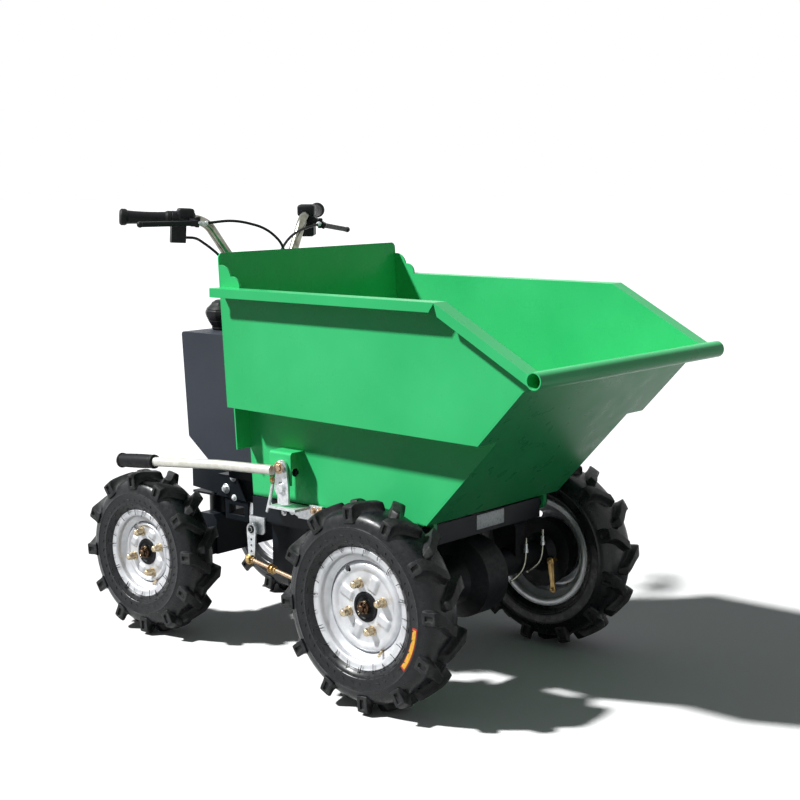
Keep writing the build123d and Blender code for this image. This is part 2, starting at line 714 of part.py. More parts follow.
# ================================================================ front axle
front_centre = (front_axle_x, 0, front_tyre_radius)
plate_y = front_track_half - front_hub_reach - axle_gap
with BuildPart() as front_axle:
    with BuildSketch(wheel_section(front_centre)):
        Polygon(*both_sides([(plate_y, 0), (plate_y, backing_plate_radius),
                             (plate_y - backing_plate_gauge, backing_plate_radius),
                             (plate_y - backing_plate_gauge, axle_tube_radius + 16),
                             (plate_y - 20, axle_tube_radius), (95, axle_tube_radius), (60, 60),
                             (axle_casing_half, axle_casing_radius)]), align=None)
    revolve(axis=axle_line(front_centre))
    with BuildSketch(side_view(0)):
        with Locations(station(0, front_tyre_radius)):
            Circle(stub_radius)
    extrude(amount=front_track_half + disc_inset - 1, both=True)
    for face in (axle_seat_y, -axle_seat_y - axle_seat_width):
        with BuildSketch(side_view(face)):
            Polygon(station(-45, rail_low_z), station(-30, front_tyre_radius), station(30, front_tyre_radius),
                    station(30, rail_low_z), align=None)
        extrude(amount=axle_seat_width)
save(front_axle, "front_axle")

with BuildPart() as drive_motor:
    with BuildSketch(side_view(-motor_left)):
        with Locations(station(motor, front_tyre_radius + 10)):
            Circle(motor_radius)
    extrude(amount=motor_length)
    with BuildSketch(side_view(0)):
        with Locations(station(motor / 2, front_tyre_radius + 5)):
            Rectangle(-motor, axle_tube_radius * 2)
    extrude(amount=30, both=True)
    with BuildSketch(side_view(0)):
        with Locations(station(0, front_tyre_radius)):
            Circle(axle_casing_radius + seat_gap)
    extrude(amount=80, both=True, mode=Mode.SUBTRACT)
save(drive_motor, "drive_motor")

# Parking brake: tab under the rail, crank arm with holes, rod and cam lever, all on the right.
crank_y = rail_half + crank_gauge + 7
rod_y = crank_y + crank_gauge + brake_rod_radius
with BuildPart() as brake_linkage:
    with BuildSketch(side_view(rail_half)) as tab:
        with Locations(station(crank + 9, (rail_low_z + crank_pivot_z - 5) / 2)):
            Rectangle(54, rail_low_z - crank_pivot_z + 21)
        chamfer(tab.vertices().group_by(Axis.Y)[0], 8)
    extrude(amount=crank_gauge)
    with BuildSketch(side_view(rail_half + crank_gauge)):
        with Locations(station(crank, crank_pivot_z)):
            Circle(7)
    extrude(amount=crank_y + crank_gauge - rail_half)
    with BuildSketch(side_view(crank_y)):
        with Locations(station(crank, crank_pivot_z)):
            Circle(16)
        with Locations(station(crank, crank_eye_z)):
            Circle(11)
        make_hull()
        for share in (0.35, 0.55, 0.75):
            with Locations(station(crank, crank_pivot_z + share * (crank_eye_z - crank_pivot_z))):
                Circle(3.5, mode=Mode.SUBTRACT)
    extrude(amount=crank_gauge)
    with BuildLine() as rod_line:
        Line(point((crank, -rod_y, crank_eye_z)), point((brake_cam, -brake_cam_y - 6, brake_cam_z)))
    with BuildSketch(rod_line.line ^ 0):
        Circle(brake_rod_radius)
    sweep()
    with BuildSketch(side_view(crank_y)):
        with Locations(station(crank, crank_eye_z)):
            Circle(8)
    extrude(amount=rod_y + brake_rod_radius - crank_y)
    with BuildSketch(side_view(brake_cam_y)):
        with Locations(station(brake_cam, brake_cam_z)):
            Circle(9)
        with Locations(station(brake_cam + 14, brake_cam_z + 54)):
            Circle(8)
        make_hull()
    extrude(amount=8)
    with BuildSketch(side_view(brake_cam_y)):
        with Locations(station(brake_cam + 14, brake_cam_z + 54)):
            Circle(8)
    extrude(amount=plate_y - backing_plate_gauge - seat_gap - brake_cam_y)
save(brake_linkage, "brake_linkage")

# Outrigger on the right rail with the zinc catch under the latch plate's foot.
catch_y = skip_low_half + 8
catch_out_y = lever_plate_y + 14
with BuildPart() as latch_catch:
    with BuildSketch(Plane.YZ.offset(front_axle_x + catch_front - 80)):
        Polygon((-catch_y - catch_gauge, rail_high_z - 13), (-rail_half, rail_high_z - 22),
                (-rail_half, rail_high_z - 3), (-catch_y - catch_gauge, rail_high_z), align=None)
    extrude(amount=60)
    with BuildSketch(side_view(catch_y)):
        Polygon(station(catch_front - 80, rail_high_z - 10), station(catch_front, rail_high_z - 10),
                station(catch_front, catch_high_z + 5), station(catch_front - 43, catch_high_z + 5),
                station(catch_front - 43, catch_high_z), station(catch_rear, catch_high_z),
                station(catch_rear, catch_high_z - 12), align=None)
    extrude(amount=catch_gauge)
    with BuildSketch(Plane.XY.offset(catch_high_z - catch_gauge)):
        with Locations((front_axle_x + (catch_rear + catch_front - 43) / 2, -(catch_y + catch_out_y) / 2)):
            Rectangle(catch_front - 43 - catch_rear, catch_out_y - catch_y)
    extrude(amount=catch_gauge)
save(latch_catch, "latch_catch")

# ================================================================ rear axle
with BuildPart() as rear_axle:
    with BuildSketch(side_view(0)):
        with Locations((rear_axle_x, beam_z)):
            Rectangle(beam_size, beam_size)
    extrude(amount=rear_track_half - rear_hub_reach - axle_gap, both=True)
    with BuildSketch(side_view(0)) as beam_seat:
        with Locations((rear_axle_x, (beam_seat_z + beam_z - beam_size / 2) / 2)):
            Rectangle(beam_size + 14, beam_seat_z - beam_z + beam_size / 2)
        chamfer(beam_seat.vertices().group_by(Axis.Y)[-1], 14)
    extrude(amount=beam_seat_half, both=True)
    with BuildSketch(Plane.XY.offset(beam_seat_z)):
        with Locations((rear_axle_x, 0)):
            Circle(kingpin_housing_radius + 6)
    extrude(amount=neck_low_z - seat_gap - beam_seat_z)
    with BuildSketch(side_view(0)):
        with Locations((rear_axle_x, rear_tyre_radius)):
            Circle(stub_radius)
    extrude(amount=rear_track_half + disc_inset - 1, both=True)
save(rear_axle, "rear_axle_beam")

arm_plane = Plane.XY.offset(steer_arm_z)
with BuildPart() as kingpin:
    with BuildSketch(Plane.XY.offset(neck_low_z - seat_gap)):
        with Locations((rear_axle_x, 0)):
            Circle(kingpin_radius)
    extrude(amount=steer_arm_z - neck_low_z + seat_gap)
    with BuildSketch(arm_plane):
        with Locations((rear_axle_x, steer_arm / 2)):
            SlotCenterToCenter(steer_arm, 2 * kingpin_radius + 6, rotation=90)
    extrude(amount=steer_arm_gauge)
    with BuildSketch(arm_plane):
        with Locations((rear_axle_x, steer_arm)):
            Circle(steer_pin_radius)
    extrude(amount=link_z + link_gauge / 2 + 3 - steer_arm_z)
save(kingpin, "kingpin")

# Drag link between the two steering arms, with an eye at each end.
column_x = front_axle_x + column
with BuildPart() as steer_link:
    with BuildSketch(Plane.XY.offset(link_z - link_gauge / 2)):
        with Locations((column_x, steer_arm), (rear_axle_x, steer_arm)):
            Circle(link_eye_radius)
        with Locations(((column_x + rear_axle_x) / 2, steer_arm)):
            Rectangle(column_x - rear_axle_x, link_gauge)
        with Locations((column_x, steer_arm)):
            Circle(steer_pin_radius + running_clearance, mode=Mode.SUBTRACT)
        with Locations((rear_axle_x, steer_arm)):
            Circle(steer_pin_radius + 0.5, mode=Mode.SUBTRACT)
    extrude(amount=link_gauge)
save(steer_link, "steer_link")

# ================================================================ battery box
box_outline = [station(box_front, box_low_z), station(box_front, box_high_z),
               station(box_top_rear, box_high_z), station(box_fold_rear, box_fold_z),
               station(box_low_rear, box_low_z)]
with BuildPart() as battery_box:
    with BuildSketch(side_view(0)) as box_side:
        Polygon(*box_outline, align=None)
        fillet(box_side.vertices(), box_bend_radius)
    extrude(amount=rail_half, both=True)
    with BuildSketch(side_view(0)):
        add(box_side.sketch_local)
        offset(amount=-box_gauge, mode=Mode.REPLACE)
    extrude(amount=rail_half - box_gauge, both=True, mode=Mode.SUBTRACT)
    with BuildSketch(Plane.XY.offset(box_low_z - 1)):
        with Locations((column_x, 0)):
            Circle(column_radius + seat_gap)
    extrude(amount=box_high_z - box_low_z + 2, mode=Mode.SUBTRACT)
save(battery_box, "battery_box")

battery_rear = box_low_rear + pack_gap
battery_front = box_front - pack_gap
battery_inner_y = column_radius + 18
battery_outer_y = rail_half - box_gauge - 12
with BuildPart() as battery_pack:
    for face in (battery_inner_y, -battery_outer_y):
        with BuildSketch(side_view(face)):
            Polygon(station(battery_rear, box_low_z + box_gauge),
                    station(battery_front, box_low_z + box_gauge),
                    station(battery_front, box_high_z - 80), station(battery_rear, box_high_z - 80),
                    align=None)
        extrude(amount=battery_outer_y - battery_inner_y)
save(battery_pack, "battery_pack")

column_low_z = link_z + link_gauge / 2 + 8
column_high_z = box_high_z + 18
with BuildPart() as steering_column:
    with BuildSketch(Plane.XY.offset(column_low_z)):
        with Locations((column_x, 0)):
            Circle(column_radius)
    extrude(amount=column_high_z - column_low_z)
    with BuildSketch(Plane.XY.offset(box_high_z)):
        with Locations((column_x, 0)):
            Circle(45)
            with PolarLocations(34, 4, start_angle=45):
                Circle(4, mode=Mode.SUBTRACT)
    extrude(amount=8)
    with BuildSketch(Plane.XY.offset(column_low_z)):
        with Locations((column_x, 0)):
            Circle(shaft_radius + running_clearance)
    extrude(amount=column_high_z - column_low_z, mode=Mode.SUBTRACT)
save(steering_column, "steering_column")

pod_foot = point((pod, pod_y, box_high_z))
with BuildPart() as control_pod:
    with BuildSketch(Plane(origin=pod_foot, x_dir=(1, 0, 0), z_dir=(0, -1, 0))):
        with BuildLine():
            Polyline((pod_top_radius, pod_height), (0, pod_height), (0, 0), (pod_foot_radius, 0))
            ThreePointArc((pod_foot_radius, 0), (pod_radius, pod_height * 0.45),
                          (pod_top_radius, pod_height))
        make_face()
    revolve(axis=Axis(pod_foot, (0, 0, 1)))
save(control_pod, "control_pod")

# ================================================================ handlebar
with BuildPart() as stem:
    with BuildSketch(Plane.XY.offset(neck_high_z)):
        with Locations((column_x, 0)):
            Circle(shaft_radius)
    extrude(amount=column_high_z + seat_gap - neck_high_z)
    with BuildSketch(Plane.XY.offset(column_high_z + seat_gap)):
        with Locations((column_x, 0)):
            RectangleRounded(44, stem_width, 8)
    extrude(amount=stem_height)
    with BuildSketch(arm_plane):
        with Locations((column_x, steer_arm / 2)):
            SlotCenterToCenter(steer_arm, 2 * shaft_radius + 8, rotation=90)
    extrude(amount=steer_arm_gauge)
    with BuildSketch(arm_plane):
        with Locations((column_x, steer_arm)):
            Circle(steer_pin_radius)
    extrude(amount=link_z + link_gauge / 2 + 3 - steer_arm_z)
save(stem, "handlebar_stem")

with BuildPart() as bar:
    with BuildLine() as bar_path:
        FilletPolyline(*[point((x, -y, z)) for x, y, z in (bar_foot, bar_bend, bar_end)],
                       radius=bar_bend_radius)
    with BuildSketch(bar_path.line ^ 0):
        Circle(bar_radius)
    sweep()
    with BuildSketch(Plane.XY.offset(column_high_z + seat_gap - 5)):
        with Locations((column_x, 0)):
            Rectangle(44, stem_width)
    extrude(amount=stem_height + 5, mode=Mode.SUBTRACT)
save_pair(bar, "handlebar")

def bar_frame(hand):
    """The end of the bar on one side, the way that it points and the level direction ahead of it."""
    end = Vector(*point((bar_end[0], -hand * bar_end[1], bar_end[2])))
    bend = Vector(*point((bar_bend[0], -hand * bar_bend[1], bar_bend[2])))
    way = (end - bend).normalized()
    return end, way, Vector(0, 0, hand).cross(way).normalized()


bar_bore = bar_radius + seat_gap
with BuildPart() as grips:
    for hand in (1, -1):
        end, way, ahead = bar_frame(hand)
        with BuildSketch(Plane(origin=end, x_dir=way, z_dir=ahead)):
            with BuildLine():
                Polyline((15 - grip_length, grip_radius), (9 - grip_length, grip_end_radius - 1),
                         (-grip_length, grip_end_radius - 1), (-grip_length, bar_bore), (1, bar_bore),
                         (1, 0), (8, 0), (8, grip_radius), (4, grip_end_radius),
                         (-6, grip_end_radius), (-12, grip_radius))
                ThreePointArc((-12, grip_radius), (-grip_length / 2, grip_radius - 1.5),
                              (15 - grip_length, grip_radius))
            make_face()
        revolve(axis=Axis(end, way))
save(grips, "handlebar_grips")

# Brake levers: a clamp and perch on the bar, and a blade with a ball end, hung below level.
with BuildPart() as levers:
    for hand, droop in lever_droops:
        end, way, ahead = bar_frame(hand)
        reach = ahead * cos(radians(droop)) - Vector(0, 0, sin(radians(droop)))
        perch = end - way * (lever_perch + lever_perch_width / 2)
        with BuildSketch(Plane(origin=perch, z_dir=way, x_dir=reach)):
            Circle(grip_radius)
            with Locations((lever_reach / 2 + 8, 0)):
                RectangleRounded(lever_reach, 16, 3)
            Circle(bar_bore, mode=Mode.SUBTRACT)
        extrude(amount=lever_perch_width)
        root = end - way * lever_perch + reach * lever_reach
        tip = end - way * 31 + reach * (lever_reach + 50)
        blade_way = (tip - root).normalized()
        with BuildSketch(Plane(origin=root, z_dir=blade_way, x_dir=reach)):
            RectangleRounded(9, 13, 3)
        extrude(amount=(tip - root).length)
        with BuildSketch(Plane(origin=tip, z_dir=way.cross(reach), x_dir=way)):
            with BuildLine():
                CenterArc((0, 0), 8, 0, 180)
                Line((-8, 0), (8, 0))
            make_face()
        revolve(axis=Axis(tip, way))
save(levers, "brake_levers")

# Throttle and switch boxes under the bar, each with the clamp that holds it.
throttle_inboard = grip_length + 38
with BuildPart() as throttle:
    for hand in (1, -1):
        end, way, ahead = bar_frame(hand)
        with BuildSketch(Plane(origin=end - way * throttle_inboard, z_dir=way, x_dir=ahead)):
            Circle(grip_radius + 3)
            with Locations((0, -hand * 33)):
                RectangleRounded(36, 54, 6)
            Circle(bar_bore, mode=Mode.SUBTRACT)
        extrude(amount=37)
save(throttle, "throttle_housing")


def bend_radii(route):
    """The largest radius that each corner of a cable's route has room for."""
    radii = []
    for before, corner, after in zip(route, route[1:], route[2:]):
        turn = radians((corner - before).get_angle(after - corner))
        room = min((corner - before).length, (after - corner).length) / 2
        radii.append(min(0.95 * room / tan(turn / 2), 300))
    return radii


# Brake cables from the two perches and the throttle cable. Each leaves its holder along the bar, and
# all are gathered into the stem's top. The free points are heights above the battery box.
stem_top_z = column_high_z + stem_height + 2 * seat_gap
gather = column + 17
right_droop, left_droop = (radians(droop) for _, droop in lever_droops)
perch_face = lever_perch + lever_perch_width / 2 + seat_gap
cable_reach = lever_reach - 10
# hand, inboard of the bar's end, ahead of it, below it, place in the stem, free points
cable_table = [
    (1, perch_face, cable_reach * cos(right_droop), cable_reach * sin(right_droop), 0,
     [(-655, -125, 287), (-614, -50, 264), (-592, -4, 211), (-622, -3, 129)]),
    (-1, perch_face, cable_reach * cos(left_droop), cable_reach * sin(left_droop), 9,
     [(-678, 145, 255), (-668, 85, 237), (-652, 30, 199), (-640, 10, 139)]),
    (1, throttle_inboard + seat_gap, 0, 46, -9,
     [(-694, -168, 213), (-668, -108, 149), (-648, -50, 104)]),
]
with BuildPart() as cables:
    for hand, inboard, forward, below, side, free_points in cable_table:
        end, way, ahead = bar_frame(hand)
        start = end - way * inboard + ahead * forward - Vector(0, 0, below)
        free = [Vector(*point((place, y, box_high_z + up))) for place, y, up in free_points]
        foot = Vector(*point((gather, side, stem_top_z)))
        route = [start, start - way * 25, *free, foot + Vector(0, 0, 36), foot]
        radii = bend_radii(route)
        print("cable bends, mm:", [round(radius) for radius in radii])
        with BuildLine() as cable_line:
            FilletPolyline(*route, radius=radii)
        with BuildSketch(cable_line.line ^ 0):
            Circle(cable_radius)
        sweep()
save(cables, "control_cables")
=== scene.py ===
"""Looks of the site dumper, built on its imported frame.

Metres, in the frame's own axes: +X forward, +Y left, +Z up, the ground at height nought. Sizes of
small pieces are written in millimetres and multiplied by MM.
"""
import json
import math

import bmesh
import bpy
from mathutils import Matrix, Vector


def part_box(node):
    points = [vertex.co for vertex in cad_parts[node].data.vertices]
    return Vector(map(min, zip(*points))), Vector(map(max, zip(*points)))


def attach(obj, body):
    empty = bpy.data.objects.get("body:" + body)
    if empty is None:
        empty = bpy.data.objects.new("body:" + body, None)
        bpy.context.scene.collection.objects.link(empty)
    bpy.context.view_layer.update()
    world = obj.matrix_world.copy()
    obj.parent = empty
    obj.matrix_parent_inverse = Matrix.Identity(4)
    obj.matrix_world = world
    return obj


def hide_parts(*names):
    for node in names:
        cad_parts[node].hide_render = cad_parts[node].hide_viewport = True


MM = 0.001
FORWARD, LEFT, RIGHT, UP = (1, 0, 0), (0, 1, 0), (0, -1, 0), (0, 0, 1)

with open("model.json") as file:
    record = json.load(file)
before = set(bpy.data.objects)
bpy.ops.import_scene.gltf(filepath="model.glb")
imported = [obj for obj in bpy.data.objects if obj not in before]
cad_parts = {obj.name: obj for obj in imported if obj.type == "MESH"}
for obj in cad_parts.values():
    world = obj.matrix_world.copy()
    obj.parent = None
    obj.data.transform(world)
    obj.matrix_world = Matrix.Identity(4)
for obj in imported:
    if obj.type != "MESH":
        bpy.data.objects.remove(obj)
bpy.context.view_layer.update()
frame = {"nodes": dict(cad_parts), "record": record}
nodes = frame["nodes"]
bpy.ops.object.select_all(action="DESELECT")


# ---------------------------------------------------------------- colour and node helpers
def linear(hex_code):
    """The linear colour of an sRGB hex value."""
    levels = [int(hex_code[i:i + 2], 16) / 255 for i in (1, 3, 5)]
    return (*(v / 12.92 if v <= 0.04045 else ((v + 0.055) / 1.055) ** 2.4 for v in levels), 1.0)


def node(tree, kind, sockets=None, links=None, **settings):
    """Add a shader node: its properties, its input values and the outputs that feed it."""
    made = tree.nodes.new(kind)
    for name, value in settings.items():
        setattr(made, name, value)
    for socket, value in (sockets or {}).items():
        made.inputs[socket].default_value = value
    for socket, source in (links or {}).items():
        tree.links.new(source, made.inputs[socket])
    return made


def start_material(name):
    """An empty material, its node tree, and the object coordinates that its patterns use."""
    material = bpy.data.materials.new(name)
    material.use_nodes = True
    tree = material.node_tree
    tree.nodes.clear()
    return material, tree, node(tree, "ShaderNodeTexCoord").outputs["Object"]


def finish_material(material, values, patterns):
    """Give the material its shader, with its plain values and the patterns that feed it."""
    shader = node(material.node_tree, "ShaderNodeBsdfPrincipled", values, patterns)
    node(material.node_tree, "ShaderNodeOutputMaterial", links={"Surface": shader.outputs[0]})
    return material


def mottle(tree, place, size_mm, detail, dark, light, rough=0.5):
    """A colour that wanders between two hex values, in patches that many millimetres across."""
    noise = node(tree, "ShaderNodeTexNoise",
                 {"Scale": 1 / (size_mm * MM), "Detail": detail, "Roughness": rough},
                 {"Vector": place})
    ramp = node(tree, "ShaderNodeValToRGB", links={"Fac": noise.outputs["Fac"]})
    for stop, position, tone in zip(ramp.color_ramp.elements, (0.35, 0.65), (dark, light)):
        stop.position = position
        stop.color = linear(tone)
    return ramp.outputs[0]


def patches(tree, place, size_mm, detail, low, high, start=0.3, end=0.7, rough=0.5):
    """A value that wanders between two others, in patches that many millimetres across."""
    noise = node(tree, "ShaderNodeTexNoise",
                 {"Scale": 1 / (size_mm * MM), "Detail": detail, "Roughness": rough},
                 {"Vector": place})
    return node(tree, "ShaderNodeMapRange",
                {"From Min": start, "From Max": end, "To Min": low, "To Max": high},
                {"Value": noise.outputs["Fac"]}).outputs[0]


def relief(tree, place, size_mm, detail, depth_mm, normal):
    """Bumps of a real width and depth, on the surface that the normal gives."""
    noise = node(tree, "ShaderNodeTexNoise", {"Scale": 1 / (size_mm * MM), "Detail": detail},
                 {"Vector": place})
    return node(tree, "ShaderNodeBump", {"Strength": 1.0, "Distance": depth_mm * MM},
                {"Height": noise.outputs["Fac"], "Normal": normal}).outputs[0]


# ---------------------------------------------------------------- materials
# Edges are rounded in the shading, so that they catch the light: more under thick powder coat
# than under plating. The real radii are too fine to show, so these are wider.
COAT_EDGE, PLATED_EDGE, MOULDED_EDGE = 1.4 * MM, 0.6 * MM, 0.8 * MM
DUST_COVER = 0.45                    # how much of the dust's colour shows where a face looks up


def powder_coat(name, dark, light, roughness, peel_mm, peel_depth_mm, specular, dust=None):
    """Baked powder coat on sheet steel: even colour, soft gloss, fine orange peel, round edges.
    The slow unevenness of the sheet under it shows in the gloss, and dust lies on what faces up."""
    material, tree, place = start_material(name)
    colour = mottle(tree, place, 240, 4, dark, light)
    if dust:
        specks = patches(tree, place, 26, 6, 0.0, 1.0, 0.45, 0.72, 0.7)
        facing = node(tree, "ShaderNodeSeparateXYZ",
                      links={0: node(tree, "ShaderNodeTexCoord").outputs["Normal"]})
        upward = node(tree, "ShaderNodeMapRange",
                      {"From Min": 0.35, "From Max": 0.95, "To Min": 0.0, "To Max": DUST_COVER},
                      {"Value": facing.outputs["Z"]})
        lying = node(tree, "ShaderNodeMath", links={0: specks, 1: upward.outputs[0]},
                     operation="MULTIPLY")
        colour = node(tree, "ShaderNodeMix", {7: linear(dust)}, {0: lying.outputs[0], 6: colour},
                      data_type="RGBA").outputs[2]
    edges = node(tree, "ShaderNodeBevel", {"Radius": COAT_EDGE}, samples=6).outputs[0]
    sheet = relief(tree, place, 170, 1, 0.9, edges)
    return finish_material(material, {"Specular IOR Level": specular}, {
        "Base Color": colour,
        "Roughness": patches(tree, place, 45, 4, roughness - 0.05, roughness + 0.07),
        "Normal": relief(tree, place, peel_mm, 1, peel_depth_mm, sheet)})


def bare_metal(name, dark, light, roughness, mottle_mm=14, scratch_mm=0.8, stretch=(1, 1, 1),
               depth_mm=0.02, metal=1.0):
    """Plated or drawn metal: mottled tone, with fine scratches that a stretch draws into lines.
    It is part metallic where a clear or chalky film over the metal spreads some of the light."""
    material, tree, place = start_material(name)
    drawn = node(tree, "ShaderNodeMapping", {"Scale": stretch}, {"Vector": place}).outputs[0]
    edges = node(tree, "ShaderNodeBevel", {"Radius": PLATED_EDGE}, samples=6).outputs[0]
    return finish_material(material, {"Metallic": metal}, {
        "Base Color": mottle(tree, place, mottle_mm, 4, dark, light, 0.6),
        "Roughness": patches(tree, drawn, scratch_mm, 3, roughness - 0.06, roughness + 0.1),
        "Normal": relief(tree, drawn, scratch_mm, 3, depth_mm, edges)})


def rubber(name, dark, light, roughness, grit_mm, depth_mm, specular, dust=None):
    """Moulded rubber, plastic or a painted casting: near black with a dull sheen and a fine grit,
    greyed by dust in patches."""
    material, tree, place = start_material(name)
    colour = mottle(tree, place, 34, 5, dark, light, 0.65)
    if dust:
        specks = patches(tree, place, 11, 6, 0.0, 0.75, 0.42, 0.8, 0.7)
        colour = node(tree, "ShaderNodeMix", {7: linear(dust)}, {0: specks, 6: colour},
                      data_type="RGBA").outputs[2]
    edges = node(tree, "ShaderNodeBevel", {"Radius": MOULDED_EDGE}, samples=6).outputs[0]
    return finish_material(material, {"Specular IOR Level": specular}, {
        "Base Color": colour,
        "Roughness": patches(tree, place, 14, 4, roughness - 0.09, roughness + 0.13),
        "Normal": relief(tree, place, grit_mm, 2, depth_mm, edges)})


def printed_film(name, worn, fresh, roughness):
    """Printed or painted film: one even colour with faint wear in its tone and gloss."""
    material, tree, place = start_material(name)
    return finish_material(material, {}, {
        "Base Color": mottle(tree, place, 6, 4, worn, fresh),
        "Roughness": patches(tree, place, 6, 4, roughness - 0.05, roughness + 0.08)})


# Skip: semi-gloss powder coat, a strong even green with hardly any peel.
green_powder_coat = powder_coat("green_powder_coat", "#36C072", "#40CA7C", 0.3, 1.6, 0.012, 0.16)
# Battery box: wrinkle powder coat, a dull blue-grey with a fine tooth, and dust on its top.
dark_grey_wrinkle_coat = powder_coat("dark_grey_wrinkle_coat", "#33363F", "#3B3F48", 0.5, 1.4, 0.22,
                                     0.16, "#6C7078")
# Frame: sprayed enamel on steel section, blue-black with a low sheen, and dust on top.
black_frame_enamel = powder_coat("black_frame_enamel", "#12161B", "#1A2026", 0.36, 2.2, 0.05, 0.13,
                                 "#4A4E52")
# Wheels: silver lacquer on pressed steel, bright but soft, because its flakes lie in a clear film.
wheel_paint = bare_metal("silver_wheel_paint", "#C4C6CA", "#DEE0E3", 0.36, 40, 0.7, depth_mm=0.015,
                         metal=0.45)
# Tyres: moulded rubber, smooth black on the walls, greyer and duller on the lugs that touch soil.
tyre_rubber = rubber("tyre_rubber", "#0F1113", "#171A1D", 0.3, 1.6, 0.05, 0.28, "#2C2F32")
lug_rubber = rubber("lug_rubber", "#18191B", "#232426", 0.46, 1.3, 0.12, 0.2, "#464746")
# Grips and mould hairs: clean matt rubber. Cable sheaths: extruded vinyl, smoother and darker.
grip_rubber = rubber("grip_rubber", "#101113", "#18191B", 0.5, 1.0, 0.05, 0.18)
cable_sheath = rubber("cable_sheath", "#0C0D0E", "#141517", 0.35, 2.0, 0.02, 0.2)
# Switch blocks and the pod: injection-moulded ABS with a fine spark texture.
moulded_plastic = rubber("black_moulded_plastic", "#0F1012", "#17181B", 0.42, 0.8, 0.04, 0.18)
# Hubs and axles: black paint over a sand casting, whose coarse skin shows through with dust in it.
casting_paint = rubber("black_painted_casting", "#0C0D10", "#14161A", 0.5, 2.5, 0.25, 0.16,
                       "#2A2C2E")
# Batteries: polypropylene case, charcoal and matt.
battery_plastic = rubber("battery_case_plastic", "#17181B", "#1F2023", 0.5, 1.2, 0.05, 0.18)
# Tipping lever: drawn aluminium tube, pale, with drawing lines along its length. They are far
# finer on the real tube, and drawn coarse enough to show.
drawn_aluminium = bare_metal("drawn_aluminium_tube", "#CFCEC4", "#E8E7DE", 0.36, 30, 0.7,
                             (0.05, 1, 1), metal=0.5)
# Fasteners and plates: bright zinc, a pale blue-grey with a slight mottle.
bright_zinc = bare_metal("bright_zinc_plate", "#BEC3C7", "#E4E6E7", 0.33, 9, 1.1, metal=0.5)
# Handlebars and pipes: nickel plate on tube, a warm dark grey with a high gloss.
nickel_tube = bare_metal("nickel_plated_tube", "#6A6B5E", "#96978A", 0.2, 20, 0.6)
# Wheel nuts: yellow passivated zinc, whose film runs from straw to brown.
yellow_zinc = bare_metal("yellow_passivated_zinc", "#97805E", "#DDD0B2", 0.3, 5, 0.9, metal=0.85)
# Brake rod's nuts and cam lever: brass gone dull, a warm even yellow.
brass = bare_metal("dull_brass", "#9A7A48", "#C9AC74", 0.32, 16, 0.8, metal=0.75)
# Lever bolt, catch bolts and rod thread: zinc worn through to a coppery undercoat in spots.
copper_zinc = bare_metal("copper_tinged_zinc", "#8A6A50", "#CDB49A", 0.34, 3, 0.8, metal=0.8)
# Axle nuts: bare steel with rust and grease, brown and dull, rough to the touch.
rusty_steel = bare_metal("greasy_rusty_steel", "#2A211A", "#6B5442", 0.5, 5, 0.9, depth_mm=0.1)
# Plate on the frame and the label on the tyre: printed films, flat in colour and faintly worn.
# Both are blank.
white_plate = printed_film("white_plate_film", "#D4D5DD", "#F2F3FC", 0.3)
red_label = printed_film("red_label_film", "#AA2318", "#C2281C", 0.4)
yellow_label = printed_film("yellow_label_film", "#CC9E33", "#E8B43A", 0.4)

slot_materials = {
    "tyre_rubber": tyre_rubber,
    "silver_wheel_paint": wheel_paint,
    "yellow_zinc_hub": casting_paint,
    "green_skip_paint": green_powder_coat,
    "lever_aluminium": drawn_aluminium,
    "black_rubber": grip_rubber,
    "zinc_plated_steel": bright_zinc,
    "frame_paint": black_frame_enamel,
    "axle_casting": casting_paint,
    "box_powder_coat": dark_grey_wrinkle_coat,
    "battery_case": battery_plastic,
    "black_moulding": moulded_plastic,
    "bright_steel": nickel_tube,
    "cable_sheath": cable_sheath,
}
for part in frame["record"]["subparts"]:
    mesh = nodes[part["node"]].data
    mesh.materials.clear()
    mesh.materials.append(slot_materials[part["material_slot"]])


# ---------------------------------------------------------------- modelling helpers
MERGE_DISTANCE = 0.02 * MM
SMOOTH_ANGLE = 35                    # degrees, below which neighbouring faces shade as one


def let_go():
    """Leave edit mode, with nothing selected."""
    if bpy.context.mode != "OBJECT":
        bpy.ops.object.mode_set(mode="OBJECT")
    bpy.ops.object.select_all(action="DESELECT")


def begin(kind, **settings):
    """Add a primitive by itself and open it for editing."""
    let_go()
    getattr(bpy.ops.mesh, f"primitive_{kind}_add")(**settings)
    bpy.ops.object.mode_set(mode="EDIT")
    return bpy.context.object


def close(piece, name, material, body, smooth=SMOOTH_ANGLE):
    """Merge, turn normals out, shade, name and hang a finished piece on its body."""
    bpy.ops.object.mode_set(mode="EDIT")
    bpy.ops.mesh.select_all(action="SELECT")
    bpy.ops.mesh.remove_doubles(threshold=MERGE_DISTANCE)
    bpy.ops.mesh.normals_make_consistent(inside=False)
    bpy.ops.object.mode_set(mode="OBJECT")
    bpy.ops.object.shade_smooth_by_angle(angle=math.radians(smooth))
    piece.name = name
    piece.data.name = name
    piece.data.materials.clear()
    piece.data.materials.append(material)
    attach(piece, body)
    return piece


